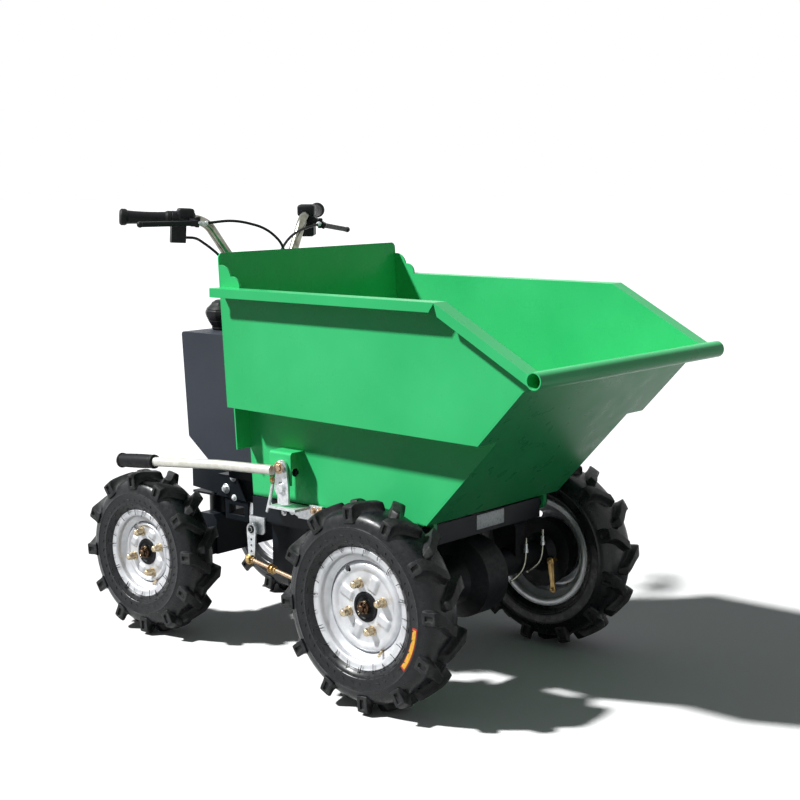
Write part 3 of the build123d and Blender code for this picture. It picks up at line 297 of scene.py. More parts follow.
def turned(centre, axis, across, profile, steps=64):
    """A lathe-turned form, left open for editing: (along, radius) points in mm, spun on an axis."""
    centre, axis, across = Vector(centre), Vector(axis).normalized(), Vector(across).normalized()
    points = [centre + (axis * along + across * radius) * MM for along, radius in profile]
    piece = begin("plane", size=MM, location=points[0])
    bpy.ops.mesh.merge(type="CENTER")
    bpy.ops.object.mode_set(mode="OBJECT")
    bpy.ops.object.transform_apply(location=True)
    bpy.ops.object.mode_set(mode="EDIT")
    bpy.ops.mesh.select_all(action="SELECT")
    for before, after in zip(points, points[1:]):
        bpy.ops.mesh.extrude_region_move(TRANSFORM_OT_translate={"value": after - before})
    bpy.ops.mesh.select_all(action="SELECT")
    bpy.ops.mesh.spin(steps=steps, angle=math.tau, center=centre, axis=axis, use_auto_merge=True)
    return piece


def copied(piece, name, matrix, body):
    """A copy with its own mesh, moved by a matrix, on another body."""
    double = piece.copy()
    double.data = piece.data.copy()
    double.name = name
    double.parent = None
    double.matrix_world = Matrix.Identity(4)
    double.data.transform(matrix)
    if matrix.determinant() < 0:
        double.data.flip_normals()
    bpy.context.scene.collection.objects.link(double)
    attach(double, body)
    return double


def modified(piece, kind, **settings):
    """Add a modifier to a piece and apply it."""
    bpy.ops.object.mode_set(mode="OBJECT")
    bpy.context.view_layer.objects.active = piece
    modifier = piece.modifiers.new(kind.lower(), kind)
    for name, value in settings.items():
        setattr(modifier, name, value)
    bpy.ops.object.modifier_apply(modifier=modifier.name)


def skin(rings):
    """A closed mesh through rings of points that have the same number of points each."""
    form = bmesh.new()
    loops = [[form.verts.new(corner) for corner in ring] for ring in rings]
    for before, after in zip(loops, loops[1:]):
        for index in range(len(before)):
            following = (index + 1) % len(before)
            form.faces.new((before[index], before[following], after[following], after[index]))
    form.faces.new(reversed(loops[0]))
    form.faces.new(loops[-1])
    mesh = bpy.data.meshes.new("skin")
    form.to_mesh(mesh)
    form.free()
    piece = bpy.data.objects.new("skin", mesh)
    bpy.context.scene.collection.objects.link(piece)
    let_go()
    piece.select_set(True)
    bpy.context.view_layer.objects.active = piece
    return piece


def tube(points, radius_mm, resolution=10):
    """A round bar or pipe along a smooth line through the points, as a mesh."""
    curve = bpy.data.curves.new("tube", "CURVE")
    curve.dimensions = "3D"
    curve.bevel_depth = radius_mm * MM
    curve.bevel_resolution = 4
    curve.use_fill_caps = True
    line = curve.splines.new("NURBS")
    line.points.add(len(points) - 1)
    for spot, place in zip(line.points, points):
        spot.co = (*place, 1)
    line.order_u = 3
    line.use_endpoint_u = True
    line.resolution_u = resolution
    piece = bpy.data.objects.new("tube", curve)
    bpy.context.scene.collection.objects.link(piece)
    let_go()
    piece.select_set(True)
    bpy.context.view_layer.objects.active = piece
    bpy.ops.object.convert(target="MESH")
    return bpy.context.object


# ---------------------------------------------------------------- wheels
def middle(name):
    """The middle of a CAD node's box."""
    low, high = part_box(name)
    return (Vector(low) + Vector(high)) / 2


LUGS = 12
LUG_PHASE = 5.0            # degrees from forward to a lug's shoulder end
LUG_SWEEP = 40.0           # mm that the crown end leads the shoulder end
SHOULDER_DROP = 44.0       # mm from a lug's tip to its foot on the side wall
LUG_HEIGHT = 19.0
SIDE_MARKS = 40
HAIRS, HAIR_STEP = 34, 10.6
RIM_HALF = 42.0
FLANGE = 14.5              # height of the rim's flange over the bead seat
STUDS, STUD_PHASE, STUD_CIRCLE = 4, 20.0, 55.0
DISC_INSET = 20.0          # mm from the wheel's middle out to the disc's flat face
DISC_BORE = 35.0
DISC_CREST = 5.0           # height of the disc's raised ring over its flat
RIDGE_HEIGHT, RIDGE_HALF_WIDTH = 5.5, 17.0
VENT_ANGLE, VENT_RADIUS = 121, 8.5
VALVE_ANGLE = -62
DRUM_RADIUS, BOSS_RADIUS = 82.0, 38.0
SPIGOT_RADIUS = 34.7       # the hub's pilot in the disc's bore


def around(centre, angle, out, radius):
    """A point of a right-hand wheel: degrees from forward, mm outboard of its middle, mm radius."""
    spoke = math.radians(angle)
    return centre + Vector((math.cos(spoke) * radius, -out, math.sin(spoke) * radius)) * MM


def smooth_step(value):
    """Nought to one with a level start and end."""
    value = min(max(value, 0.0), 1.0)
    return value * value * (3 - 2 * value)


def carcass_profile(tip, seat, half):
    """Section of the carcass from the bead over the side wall and the crown to the other bead."""
    crown = tip - LUG_HEIGHT
    side = [
        # bead and the wall over the rim's flange
        (RIM_HALF - 5, seat + 1), (RIM_HALF - 4.5, seat + FLANGE - 2),
        (RIM_HALF + 3, seat + FLANGE + 3), (half - 9, seat + 22),
        # rib where the wall starts
        (half - 6, seat + 26), (half - 5.5, seat + 30), (half - 3.4, seat + 31),
        (half - 3.2, seat + 33), (half - 4.4, seat + 34.5),
        # wall, and the ridge that protects it
        (half - 3, crown - 50), (half - 2, crown - 43), (half - 1.6, crown - 40),
        (half - 0.3, crown - 39), (half - 0.3, crown - 36.5), (half - 2.2, crown - 35.5),
        # shoulder and crown
        (half - 4, crown - 26), (half - 8.5, crown - 15), (half - 16, crown - 7),
        (half - 26, crown - 2.4), (half - 38, crown - 0.6), (half - 50, crown)]
    return side + [(-out, radius) for out, radius in reversed(side)]


def make_carcass(centre, tip, seat, half):
    """Turned tyre without its lugs, rounded by one subdivision."""
    piece = turned(centre, RIGHT, UP, carcass_profile(tip, seat, half), 96)
    modified(piece, "SUBSURF", levels=1)
    return piece


def lug_ring(centre, phase, hand, out, lead, top, base, width, flare):
    """Arch of points across a lug: a flat top, sloping flanks, and a foot that flares out."""
    rise = top - base
    flank = [(width + flare, base - 2.5), (width + flare * 0.5, base + rise * 0.06),
             (width + flare * 0.25, base + rise * 0.26), (width + 1.6, base + rise * 0.6),
             (width + 0.5, top - 1.0), (width - 0.7, top)]
    arch = [(-side, height) for side, height in flank] + flank[::-1]
    ring = [around(centre, phase - math.degrees((lead + side) / top), hand * out, height)
            for side, height in arch]
    return ring if hand > 0 else ring[::-1]


def pocket_ring(centre, phase, hand, out, low, high, width):
    """Rectangle of points in a lug's end face, as many as in the arch round it."""
    shares = (0, 0.05, 0.3, 0.65, 0.95, 1)
    sides = [(-width, low + (high - low) * share) for share in shares]
    sides += [(width, height) for _, height in sides[::-1]]
    ring = [around(centre, phase - math.degrees(side / high), hand * out, height)
            for side, height in sides]
    return ring if hand > 0 else ring[::-1]


def make_lug(centre, tip, half, hand, phase):
    """One lug: from a blunt end past the crown, swept back to a pocketed end on the side wall."""
    crown = tip - LUG_HEIGHT
    shoulder = tip - SHOULDER_DROP
    table = [
        # out, lead as a share of the sweep, top, base, half width of the top, flare of the foot
        (-21, 1.04, crown - 2.5, crown - 3, 3, 3),
        (-16, 1.03, crown + 3, crown - 2, 7, 6),
        (-12, 1.02, tip - 6, crown - 1, 9.5, 9),
        (-8.5, 1.0, tip - 0.4, crown - 1, 10.5, 11),
        (-7, 1.0, tip, crown - 1, 11, 13),
        (4, 0.84, tip, crown - 1, 11.6, 16),
        (16, 0.56, tip, crown - 2, 12.2, 18),
        (27, 0.28, tip - 0.6, crown - 3, 12.8, 18),
        (half - 18, 0.1, tip - 1.6, crown - 8, 13.4, 17),
        (half - 12, 0.02, tip - 3, crown - 14, 14, 15),
        (half - 7, 0, tip - 5, crown - 20, 14.2, 12),
        (half - 3, 0, tip - 7.4, shoulder, 14.4, 9),
        (half - 1.0, 0, tip - 8.6, shoulder + 1, 14.4, 5),
        (half - 0.5, 0, tip - 9.2, shoulder + 1.8, 14, 4.2)]
    rings = [lug_ring(centre, phase, hand, out, lead * LUG_SWEEP, top, base, width, flare)
             for out, lead, top, base, width, flare in table]
    low, high = shoulder + 6, tip - 14
    rings += [pocket_ring(centre, phase, hand, half - depth, low + inset, high - inset,
                          6.6 - inset * 0.8)
              for depth, inset in ((0.5, -2), (0.5, 0), (1.3, 0.3), (4.4, 0.9), (5, 1.5))]
    piece = skin(rings)
    modified(piece, "SUBSURF", levels=1)
    return piece


def joined(pieces):
    """Join pieces into the first."""
    let_go()
    for piece in pieces:
        piece.select_set(True)
    bpy.context.view_layer.objects.active = pieces[0]
    if len(pieces) > 1:
        bpy.ops.object.join()
    return pieces[0]


def make_tread(centre, tip, half):
    """All the lugs: one made for each side of the tread and copied round the wheel."""
    lugs = []
    for hand in (1, -1):
        first = make_lug(centre, tip, half, hand, LUG_PHASE + (0 if hand > 0 else 180 / LUGS))
        lugs.append(first)
        for index in range(1, LUGS):
            step = Matrix.Rotation(-math.radians(360 / LUGS * index), 4, "Y")
            double = first.copy()
            double.data = first.data.copy()
            double.data.transform(Matrix.Translation(centre) @ step @ Matrix.Translation(-centre))
            bpy.context.scene.collection.objects.link(double)
            lugs.append(double)
    return joined(lugs)


def make_side_marks(centre, seat, half):
    """Moulded dashes round the side wall."""
    marks = []
    foot, head = seat + 24.5, seat + 35
    for index in range(SIDE_MARKS):
        angle = index * 360 / SIDE_MARKS
        if index % 2:
            spots = [(angle, half - 6.2, foot + 1.5), (angle + 4.5, half - 5.6, foot + 4)]
        else:
            spots = [(angle, half - 4.2, head - 1), (angle + 2.2, half - 5.4, head - 6)]
        marks.append(tube([around(centre, *spot) for spot in spots], 1.4, 2))
        marks.append(tube([around(centre, angle + 3, half - 3.2, head + 5),
                           around(centre, angle + 4 + index % 3, half - 3.0, head + 9)], 1.2, 2))
    return joined(marks)


def make_hairs(centre, seat):
    """Rubber hairs from the mould that stand from the tyre over the rim's flange."""
    hairs = []
    for index in range(HAIRS):
        angle = index * HAIR_STEP + 5 * math.sin(index * 2.1)
        length = 12 + 5 * math.sin(index * 1.7)
        hairs.append(tube([around(centre, angle, RIM_HALF + 5, seat + FLANGE + 6),
                           around(centre, angle + 1.5, RIM_HALF + 4.6, seat + FLANGE),
                           around(centre, angle + 1 + 2 * math.sin(index), RIM_HALF + 2.6,
                                  seat + FLANGE - length)], 0.75, 3))
    return joined(hairs)


def make_barrel(centre, seat):
    """Rolled barrel of the wheel: flanges with round lips, bead seats and a drop centre."""
    well = seat - 17
    lip = seat + FLANGE
    half = [
        # drop centre and the slope up to the bead seat
        (15, well), (18, well + 1.2), (24, seat - 2), (27, seat - 0.2), (34, seat + 0.4),
        # flange, its rolled lip, and back down behind it
        (37, seat + 2), (38.2, seat + 5), (38.4, lip - 3), (39.4, lip - 0.6), (41, lip),
        (42.4, lip - 0.8), (42.8, lip - 2.6), (41.9, lip - 4), (41.6, seat + 5), (40.6, seat - 0.6),
        # inner face
        (37.6, seat - 3.4), (34, seat - 4), (28.4, seat - 4.4), (26, seat - 6), (20, well - 2.6),
        (15, well - 4)]
    outline = half + [(-out, radius) for out, radius in reversed(half)]
    return turned(centre, RIGHT, UP, [*outline, outline[0]], 96)


def make_disc(centre, seat, flat):
    """Pressed disc: skirt, raised ring, flat, four ridges between the nuts and a vent hole."""
    inside = seat - 21
    span = inside - flat
    face = [(DISC_INSET - 12, inside + 2), (DISC_INSET - 8, inside + 1.2)]
    face += [(DISC_INSET + out, inside - span * share)
             for share, out in ((0.08, -2), (0.22, 3), (0.36, DISC_CREST - 0.4), (0.5, DISC_CREST),
                                (0.64, DISC_CREST - 0.6), (0.84, 2.4), (0.96, 0.6), (1.06, 0))]
    rings = max(6, int((flat - DISC_BORE) / 2.4))
    hollow = flat - span * 0.06
    face += [(DISC_INSET, hollow - (hollow - DISC_BORE) * step / rings)
             for step in range(1, rings + 1)]
    back = [(out - 4, radius + (0.6 if radius > flat else 0)) for out, radius in reversed(face)]
    piece = turned(centre, RIGHT, UP, [*face, *back, face[0]], 144)
    form = bmesh.from_edit_mesh(piece.data)
    for vertex in form.verts:
        offset = (vertex.co - centre) / MM
        radius = math.hypot(offset.x, offset.z)
        if DISC_BORE + 2 < radius < flat + 2:
            turn_angle = math.degrees(math.atan2(offset.z, offset.x)) - STUD_PHASE - 45
            from_ridge = math.radians((turn_angle + 45) % 90 - 45)
            beside = abs(math.sin(from_ridge)) * radius
            along = radius * math.cos(from_ridge)
            shape = smooth_step((RIDGE_HALF_WIDTH - beside) / 10)
            shape *= smooth_step((along - DISC_BORE - 4) / 8)
            shape *= smooth_step((flat + 1 - along) / 9)
            vertex.co.y -= RIDGE_HEIGHT * MM * shape
    bmesh.update_edit_mesh(piece.data)
    let_go()
    # The vent hole is drilled through the skirt of the disc.
    hole = around(centre, VENT_ANGLE, DISC_INSET, inside - span * 0.45)
    bpy.ops.mesh.primitive_cylinder_add(vertices=32, radius=VENT_RADIUS * MM, depth=50 * MM,
                                        location=hole, rotation=(math.pi / 2, 0, 0))
    drill = bpy.context.object
    modified(piece, "BOOLEAN", object=drill, operation="DIFFERENCE", solver="EXACT")
    bpy.data.objects.remove(drill)
    let_go()
    piece.select_set(True)
    bpy.context.view_layer.objects.active = piece
    return piece


def make_valve(centre, seat):
    """Tyre valve with its cap, through the barrel by the disc."""
    foot = around(centre, VALVE_ANGLE, 14, seat - 26)
    lean = (around(centre, VALVE_ANGLE, 40, seat - 12) - foot).normalized()
    return turned(foot, lean, UP, [(0, 0), (0, 5), (5, 5), (6, 3.4), (16, 3.4), (16.5, 4), (27, 4),
                                   (28.5, 3.2), (28.5, 0)], 20)


def make_hub_body(centre, reach, drum):
    """Hub turned from a casting: brake drum or boss behind the disc, pilot spigot in its bore."""
    back = DISC_INSET - 4
    face = DISC_INSET + 2
    outer = DRUM_RADIUS if drum else BOSS_RADIUS
    profile = [(-reach, 15.2), (-reach, outer - 3), (-reach + 2, outer), (back - 12, outer)]
    if drum:
        profile += [(back - 9.5, outer - 1.5), (back - 8.2, 70), (back - 7.6, 66)]
    else:
        profile += [(back - 8.6, 41), (back - 8, 44), (back - 8, 65)]
    profile += [(back - 7, 66), (back - 0.6, 66), (back, 65.4), (back, SPIGOT_RADIUS),
                (face - 1, SPIGOT_RADIUS), (face + 0.4, 33.4), (face + 0.4, 28),
                (face - 1.6, 26), (face - 1.6, 21), (face, 19.5), (face, 0)]
    return turned(centre, RIGHT, UP, profile, 72)


def bevelled(piece, width_mm, segments, angle):
    """Round the edges that turn by more than an angle in degrees."""
    modified(piece, "BEVEL", width=width_mm * MM, segments=segments, limit_method="ANGLE",
             angle_limit=math.radians(angle))


def hexagon_nut(place, radius_mm, height_mm, turn_angle):
    """A hexagon that faces outboard on the right side, from its middle; its callers bevel it."""
    bpy.ops.mesh.primitive_cylinder_add(vertices=6, radius=radius_mm * MM, depth=height_mm * MM,
                                        location=place, rotation=(math.pi / 2, turn_angle, 0))
    hexagon = bpy.context.object
    bpy.ops.object.transform_apply(location=True, rotation=True)
    return hexagon


def make_nut(centre, angle):
    """Long wheel nut: washer, hexagon, and a domed end."""
    foot = around(centre, angle, DISC_INSET + 0.1, STUD_CIRCLE)
    hexagon = hexagon_nut(foot + Vector(RIGHT) * 9.5 * MM, 10.4, 15, math.radians(angle * 0.7))
    bevelled(hexagon, 1.1, 3, 40)
    dome = turned(foot, RIGHT, FORWARD,
                  [(0, 0), (0, 11.6), (1, 12), (2.2, 11.6), (2.6, 9), (15, 8.4), (18, 9),
                   (21.5, 8.2), (23.8, 6.4), (25, 3.4), (25.2, 0)], 28)
    return joined([hexagon, dome])


def make_nuts(centre):
    """The wheel nuts, one on each stud."""
    return joined([make_nut(centre, STUD_PHASE + 360 / STUDS * index) for index in range(STUDS)])


def make_castle_nut(centre):
    """Slotted axle nut: a hexagon with six teeth before it, on the end of the axle."""
    face = DISC_INSET + 2
    hexagon = hexagon_nut(around(centre, 0, face, 0) + Vector(RIGHT) * 4.5 * MM, 17, 9, 0.3)
    bevelled(hexagon, 1.2, 3, 40)
    teeth = []
    tooth_outer, tooth_inner, tooth_step = 13.2, 8, 11
    for index in range(6):
        start = index * 60 + 32
        tooth = skin([[around(centre, start + step * tooth_step, face + out, tooth_outer)
                       for step in range(4)]
                      + [around(centre, start + step * tooth_step, face + out, tooth_inner)
                         for step in (3, 2, 1, 0)] for out in (8, 14)])
        bevelled(tooth, 0.6, 2, 50)
        teeth.append(tooth)
    stub = turned(centre, RIGHT, FORWARD,
                  [(DISC_INSET, 0), (DISC_INSET, 7.4), (DISC_INSET + 19, 7.4),
                   (DISC_INSET + 21, 5.4), (DISC_INSET + 21.4, 0)], 24)
    return joined([hexagon, *teeth, stub])


def make_split_pin(centre):
    """Split pin: an eye on one side, and two legs bent round the nut on the other."""
    out = DISC_INSET + 13.5
    eye_loop = ((0, 0, 0), (3, 2.6, 3), (0, 3.4, 7), (-6, 1.2, 8.5), (-8, -2.4, 6), (-3, -2.4, 2),
                (0, 0, -2))
    eye = tube([around(centre, 62 + turn_angle, out + rise, 14 + lift)
                for turn_angle, rise, lift in eye_loop], 1.0, 6)
    legs = [tube([around(centre, 242, out, 12), around(centre, 242, out + side, 17),
                  around(centre, 242 + side * 5, out + 4 * side, 17.5),
                  around(centre, 240 + side * 12, out + 4.5, 11 + side)], 1.0, 6)
            for side in (1, -1)]
    return joined([eye, *legs])


wheel_table = [
    # name, tip radius, bead seat radius, half width, disc flat, hub reach, brake drum
    ("front", 242.0, 127.0, 57.5, 82.0, 34.0, True),
    ("rear", 217.0, 101.6, 55.0, 67.0, 50.0, False),
]
mirror = Matrix.Diagonal((1, -1, 1, 1))
for end, tip, seat, half, flat, reach, drum in wheel_table:
    wheel_pieces = [
        # name, how it is made and from what sizes, finish, slot, CAD piece it stands for, smoothing
        ("carcass", make_carcass, (tip, seat, half), tyre_rubber, "tyre_rubber", "tyre", 50),
        ("tread", make_tread, (tip, half), lug_rubber, "tyre_rubber", None, 42),
        ("side_marks", make_side_marks, (seat, half), lug_rubber, "tyre_rubber", None, 35),
        ("rubber_hairs", make_hairs, (seat,), grip_rubber, "tyre_rubber", None, 35),
        ("barrel", make_barrel, (seat,), wheel_paint, "silver_wheel_paint", "rim", 40),
        ("disc", make_disc, (seat, flat), wheel_paint, "silver_wheel_paint", None, 40),
        ("valve", make_valve, (seat,), yellow_zinc, "yellow_zinc_hub", None, 35),
        ("hub_casting", make_hub_body, (reach, drum), casting_paint, "axle_casting", "hub", 35),
        ("wheel_nuts", make_nuts, (), yellow_zinc, "yellow_zinc_hub", None, 35),
        ("axle_nut", make_castle_nut, (), rusty_steel, "yellow_zinc_hub", None, 35),
        ("split_pin", make_split_pin, (), yellow_zinc, "yellow_zinc_hub", None, 35),
    ]
    hub_centre = middle(f"right_{end}_tyre")
    for name, make, measures, finish, slot, stands_for, smooth in wheel_pieces:
        right_piece = close(make(hub_centre, *measures), f"right_{end}_{name}", finish,
                            f"{end}_right_wheel", smooth)
        left_piece = copied(right_piece, f"left_{end}_{name}", mirror, f"{end}_left_wheel")
        if stands_for:
            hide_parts(f"right_{end}_{stands_for}")
            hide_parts(f"left_{end}_{stands_for}")


# ---------------------------------------------------------------- label on the tyre
LABEL_STEPS = 26


def arc_band(centre, start, end, rows, lift):
    """A strip round the side wall of a right-hand tyre through rows of (outboard, radius)."""
    rings = []
    for step in range(LABEL_STEPS + 1):
        angle = start + (end - start) * step / LABEL_STEPS
        outer = [around(centre, angle, out + lift, radius) for out, radius in rows]
        inner = [around(centre, angle, out - 1.5, radius) for out, radius in rows[::-1]]
        rings.append(outer + inner)
    return skin(rings)


label_centre = middle("right_front_tyre")
for name, film, start, end, lift, rows in (
        ("right_front_tyre_label", red_label, -3, -38, 0.7,
         [(53.0, 166.5), (53.9, 170), (54.5, 174), (55.0, 178), (55.4, 181.5)]),
        ("right_front_tyre_label_middle", yellow_label, -4.4, -36.6, 1.1,
         [(53.5, 168.7), (53.9, 170), (54.5, 174), (55.0, 178), (55.2, 179.4)])):
    close(arc_band(label_centre, start, end, rows, lift), name, film,
          "front_right_wheel")


# ---------------------------------------------------------------- small pieces
front_axle_x = middle("right_front_tyre").x / MM



def at(station, y, z):
    """A place, in mm: forward of the front axle, left of the middle and over the ground."""
    return Vector((front_axle_x + station, y, z)) * MM


def hex_bolt(place, axis, across_mm, head_mm, turn_degrees=10):
    """Hexagon head on its washer with a domed face."""
    axis = Vector(axis).normalized()
    facing = axis.to_track_quat("Z", "Y").to_matrix().to_4x4()
    radius = across_mm / math.sqrt(3)
    let_go()
    bpy.ops.mesh.primitive_cylinder_add(vertices=6, radius=radius * MM, depth=head_mm * MM)
    head = bpy.context.object
    bevelled(head, radius * 0.11, 3, 40)
    lifted = Matrix.Translation(axis * (head_mm / 2 + 1) * MM) @ Matrix.Translation(place)
    head.data.transform(lifted @ facing @ Matrix.Rotation(math.radians(turn_degrees), 4, "Z"))
    washer = turned(place, axis, axis.orthogonal(),
                    [(-0.4, 0), (-0.4, radius * 1.45), (0.6, radius * 1.5), (1.3, radius * 1.4),
                     (1.3, radius * 0.7), (head_mm + 1, radius * 0.7),
                     (head_mm + 2, radius * 0.45), (head_mm + 2.2, 0)], 28)
    return joined([head, washer])


def rounded_block(place, size_mm, radius_mm, matrix=None):
    """Moulded block with rounded edges, turned by a matrix."""
    let_go()
    bpy.ops.mesh.primitive_cube_add(size=1)
    block = bpy.context.object
    block.data.transform(Matrix.Diagonal((*(Vector(size_mm) * MM), 1)))
    modified(block, "BEVEL", width=radius_mm * MM, segments=4, limit_method="NONE")
    block.data.transform(Matrix.Translation(place) @ (matrix or Matrix.Identity(4)))
    return block


# Lever grip with a diamond pattern between two collars.
LEVER_SIDE = -320.3
GRIP_TURNS = 40
KNURL_START, KNURL_STEP, KNURL_ROWS, KNURL_HEIGHT = 12, 2.6, 44, 0.9
grip_way = (at(-764, 0, 477) - at(-520, 0, 498)).normalized()
grip_foot = at(-764, LEVER_SIDE, 477) + grip_way * 0.3 * MM
knurl = [(KNURL_START + KNURL_STEP * step, 17.0 + 0.8 * math.sin(step * 0.075))
         for step in range(KNURL_ROWS)]
profile = [(0, 0), (0, 16), (1.5, 18), (6, 18.6), (8.5, 17), *knurl, (127, 17.6), (129, 19.6),
           (133.5, 19.8), (135.5, 18), (136, 14), (136, 0)]
lever_grip = turned(grip_foot, grip_way, UP, profile, GRIP_TURNS)
form = bmesh.from_edit_mesh(lever_grip.data)
for vertex in form.verts:
    offset = vertex.co - grip_foot
    along = offset.dot(grip_way) / MM
    spoke = offset - grip_way * along * MM
    if knurl[0][0] - 1 < along < knurl[-1][0] + 1:
        row = round((along - KNURL_START) / KNURL_STEP)
        column = round(math.atan2(spoke.y, spoke.z) / (math.tau / GRIP_TURNS))
        if (row + column) % 2:
            vertex.co += spoke.normalized() * KNURL_HEIGHT * MM
bmesh.update_edit_mesh(lever_grip.data)
close(lever_grip, "lever_grip_knurled", grip_rubber, "tip_lever")
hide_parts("lever_grip")

# Spring rod that hangs from the latch plate, and its hook.
rod = tube([at(-353, -304, 470), at(-354, -304, 461), at(-360, -304, 440), at(-367, -304, 416),
            at(-373, -304, 398)], 4.2, 6)
hook = tube([at(-336, -305, 481), at(-346, -304, 484), at(-352, -304, 481), at(-353, -304, 472)],
            2.6, 6)
close(joined([rod, hook]), "latch_spring_rod", bright_zinc, "tip_lever")

# Fasteners. The faces they seat on are at these distances left of the middle, in mm.
LATCH_FACE, ROD_FACE, CATCH_FACE, RAIL_FACE, NECK_FACE = -315.6, -307, -268.2, -200.2, -76.2
CRANK_EYE_FACE, CRANK_PIVOT_FACE = -227.5, -217.4
fastener_table = [
    # name, finish, body, axis, and for each: station, face, height, across flats, head, turn
    ("lever_pivot_bolt", copper_zinc, "tip_lever", RIGHT, [(-320, LATCH_FACE, 514, 17, 4, 20)]),
    ("spring_rod_nut", brass, "tip_lever", RIGHT, [(-351, ROD_FACE, 480, 9, 4, 10)]),
    ("catch_bolts", copper_zinc, "chassis", RIGHT,
     [(-233, CATCH_FACE, 412, 11, 6, -233), (-252, CATCH_FACE, 410, 11, 6, -252)]),
    ("neck_bolts", bright_zinc, "chassis", RIGHT,
     [(-736, NECK_FACE, 401, 12, 6, 10), (-765, NECK_FACE, 368, 16, 8, 10)]),
    ("rail_bolts", bright_zinc, "chassis", RIGHT,
     [(-600, RAIL_FACE, 385, 10, 5, -600), (-470, RAIL_FACE, 385, 10, 5, -470),
      (-420, RAIL_FACE, 372, 10, 5, -420), (-392, RAIL_FACE, 378, 10, 5, -392)]),
    # The nut is inside the lever's bracket and tips with the skip.
    ("bracket_nut", casting_paint, "skip", FORWARD, [(-308.5, -272, 497, 12, 6, 10)]),
    ("crank_eye_bolt", brass, "chassis", RIGHT, [(-523, CRANK_EYE_FACE, 241, 15, 6, 10)]),
    ("crank_pivot_bolt", casting_paint, "chassis", RIGHT,
     [(-523, CRANK_PIVOT_FACE, 317, 12, 4, 10)]),
]
for name, finish, body, axis, each in fastener_table:
    close(joined([hex_bolt(at(*spot), axis, across, head, turn_degrees)
                  for *spot, across, head, turn_degrees in each]),
          name, finish, body)

# On the brake rod: its threaded end, and the nuts along it.
THREAD_RIDGES, THREAD_STEP = 96, 1.9
rod_start, rod_end = at(-523, -222, 241), at(-80, -272, 196)
rod_way = (rod_end - rod_start).normalized()
thread = [(14 + step * THREAD_STEP, 5.2 if step % 2 else 5.6) for step in range(THREAD_RIDGES)]
close(turned(rod_start, rod_way, UP, [(13, 4.6), *thread, (198, 4.6)], 20), "brake_rod_thread",
      copper_zinc, "chassis")
close(joined([hex_bolt(rod_start + rod_way * distance * MM, rod_way, 14, 8, distance)
              for distance in (6, 84, 97)]),
      "brake_rod_nuts", brass, "chassis")

# Blank white plate on the front cross member.
close(rounded_block(at(70.9, 0, 390), (1.6, 105, 35), 0.6), "front_plate_blank", white_plate,
      "chassis")

# Brake pipes and their unions, and the cam lever, behind the left front wheel.
pipes = joined([tube([at(*spot) for spot in spots], 3, 8) for spots in (
    ((40, 185, 305), (40, 185, 268), (40, 178, 232), (38, 150, 212), (34, 129, 205)),
    ((44, 250, 316), (44, 250, 270), (44, 243, 240), (42, 215, 222), (40, 190, 218)))])
close(pipes, "brake_pipes", nickel_tube, "chassis")
CAM_TOP, CAM_SIDE, CAM_LEAN = 238, 280, 0.12
cam_outline = ((-1, -2.4), (-0.8, -3.4), (0.8, -3.4), (1, -2.4), (1, 2.4), (0.8, 3.4), (-0.8, 3.4),
               (-1, 2.4))
cam_rings = [
    [at(46 + (CAM_TOP - height) * CAM_LEAN + across * half_width, CAM_SIDE + out, height)
     for across, out in cam_outline]
    for height, half_width in ((CAM_TOP, 3), (237, 7), (233, 9.5), (226, 10), (218, 8.5), (205, 8),
                               (180, 6.5), (170, 6), (162, 7), (156, 7.5), (151, 6), (149, 3))]
cam = joined([skin(cam_rings), hex_bolt(at(47, CAM_SIDE - 3.4, 229), RIGHT, 11, 5),
              hex_bolt(at(55, CAM_SIDE - 3.4, 157), RIGHT, 8, 5),
              turned(at(47, CAM_SIDE, 229), LEFT, FORWARD, [(0, 0), (0, 6), (24, 6), (24, 0)], 20)])
close(cam, "brake_cam_lever", brass, "chassis")
union_profile = [(0, 0), (0, 6), (9, 6), (10, 4.4), (22, 4.4), (23, 3.4), (23, 0)]
close(joined([turned(at(*spot), UP, FORWARD, union_profile, 20)
              for spot in ((40, 185, 268), (44, 250, 276))]),
      "pipe_unions", bright_zinc, "chassis")

# Pod on the battery box: a ribbed cap with ten soft facets.
pod_low, pod_high = (Vector(corner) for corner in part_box("control_pod"))
pod_foot = Vector(((pod_low.x + pod_high.x) / 2, (pod_low.y + pod_high.y) / 2, pod_low.z))
pod = turned(pod_foot, UP, FORWARD,
             [(0, 0), (0, 33), (4, 36), (9, 35), (11, 37), (24, 45), (26, 44.6), (28, 46.4),
              (38, 51), (44, 52), (50, 51), (53, 48.5), (55, 49), (64, 39), (66, 37), (72, 33),
              (75, 27), (77.6, 24), (78, 20), (78, 0)], 10)
bevelled(pod, 2.2, 3, 28)
close(pod, "control_pod_cap", moulded_plastic, "chassis", 40)
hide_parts("control_pod")

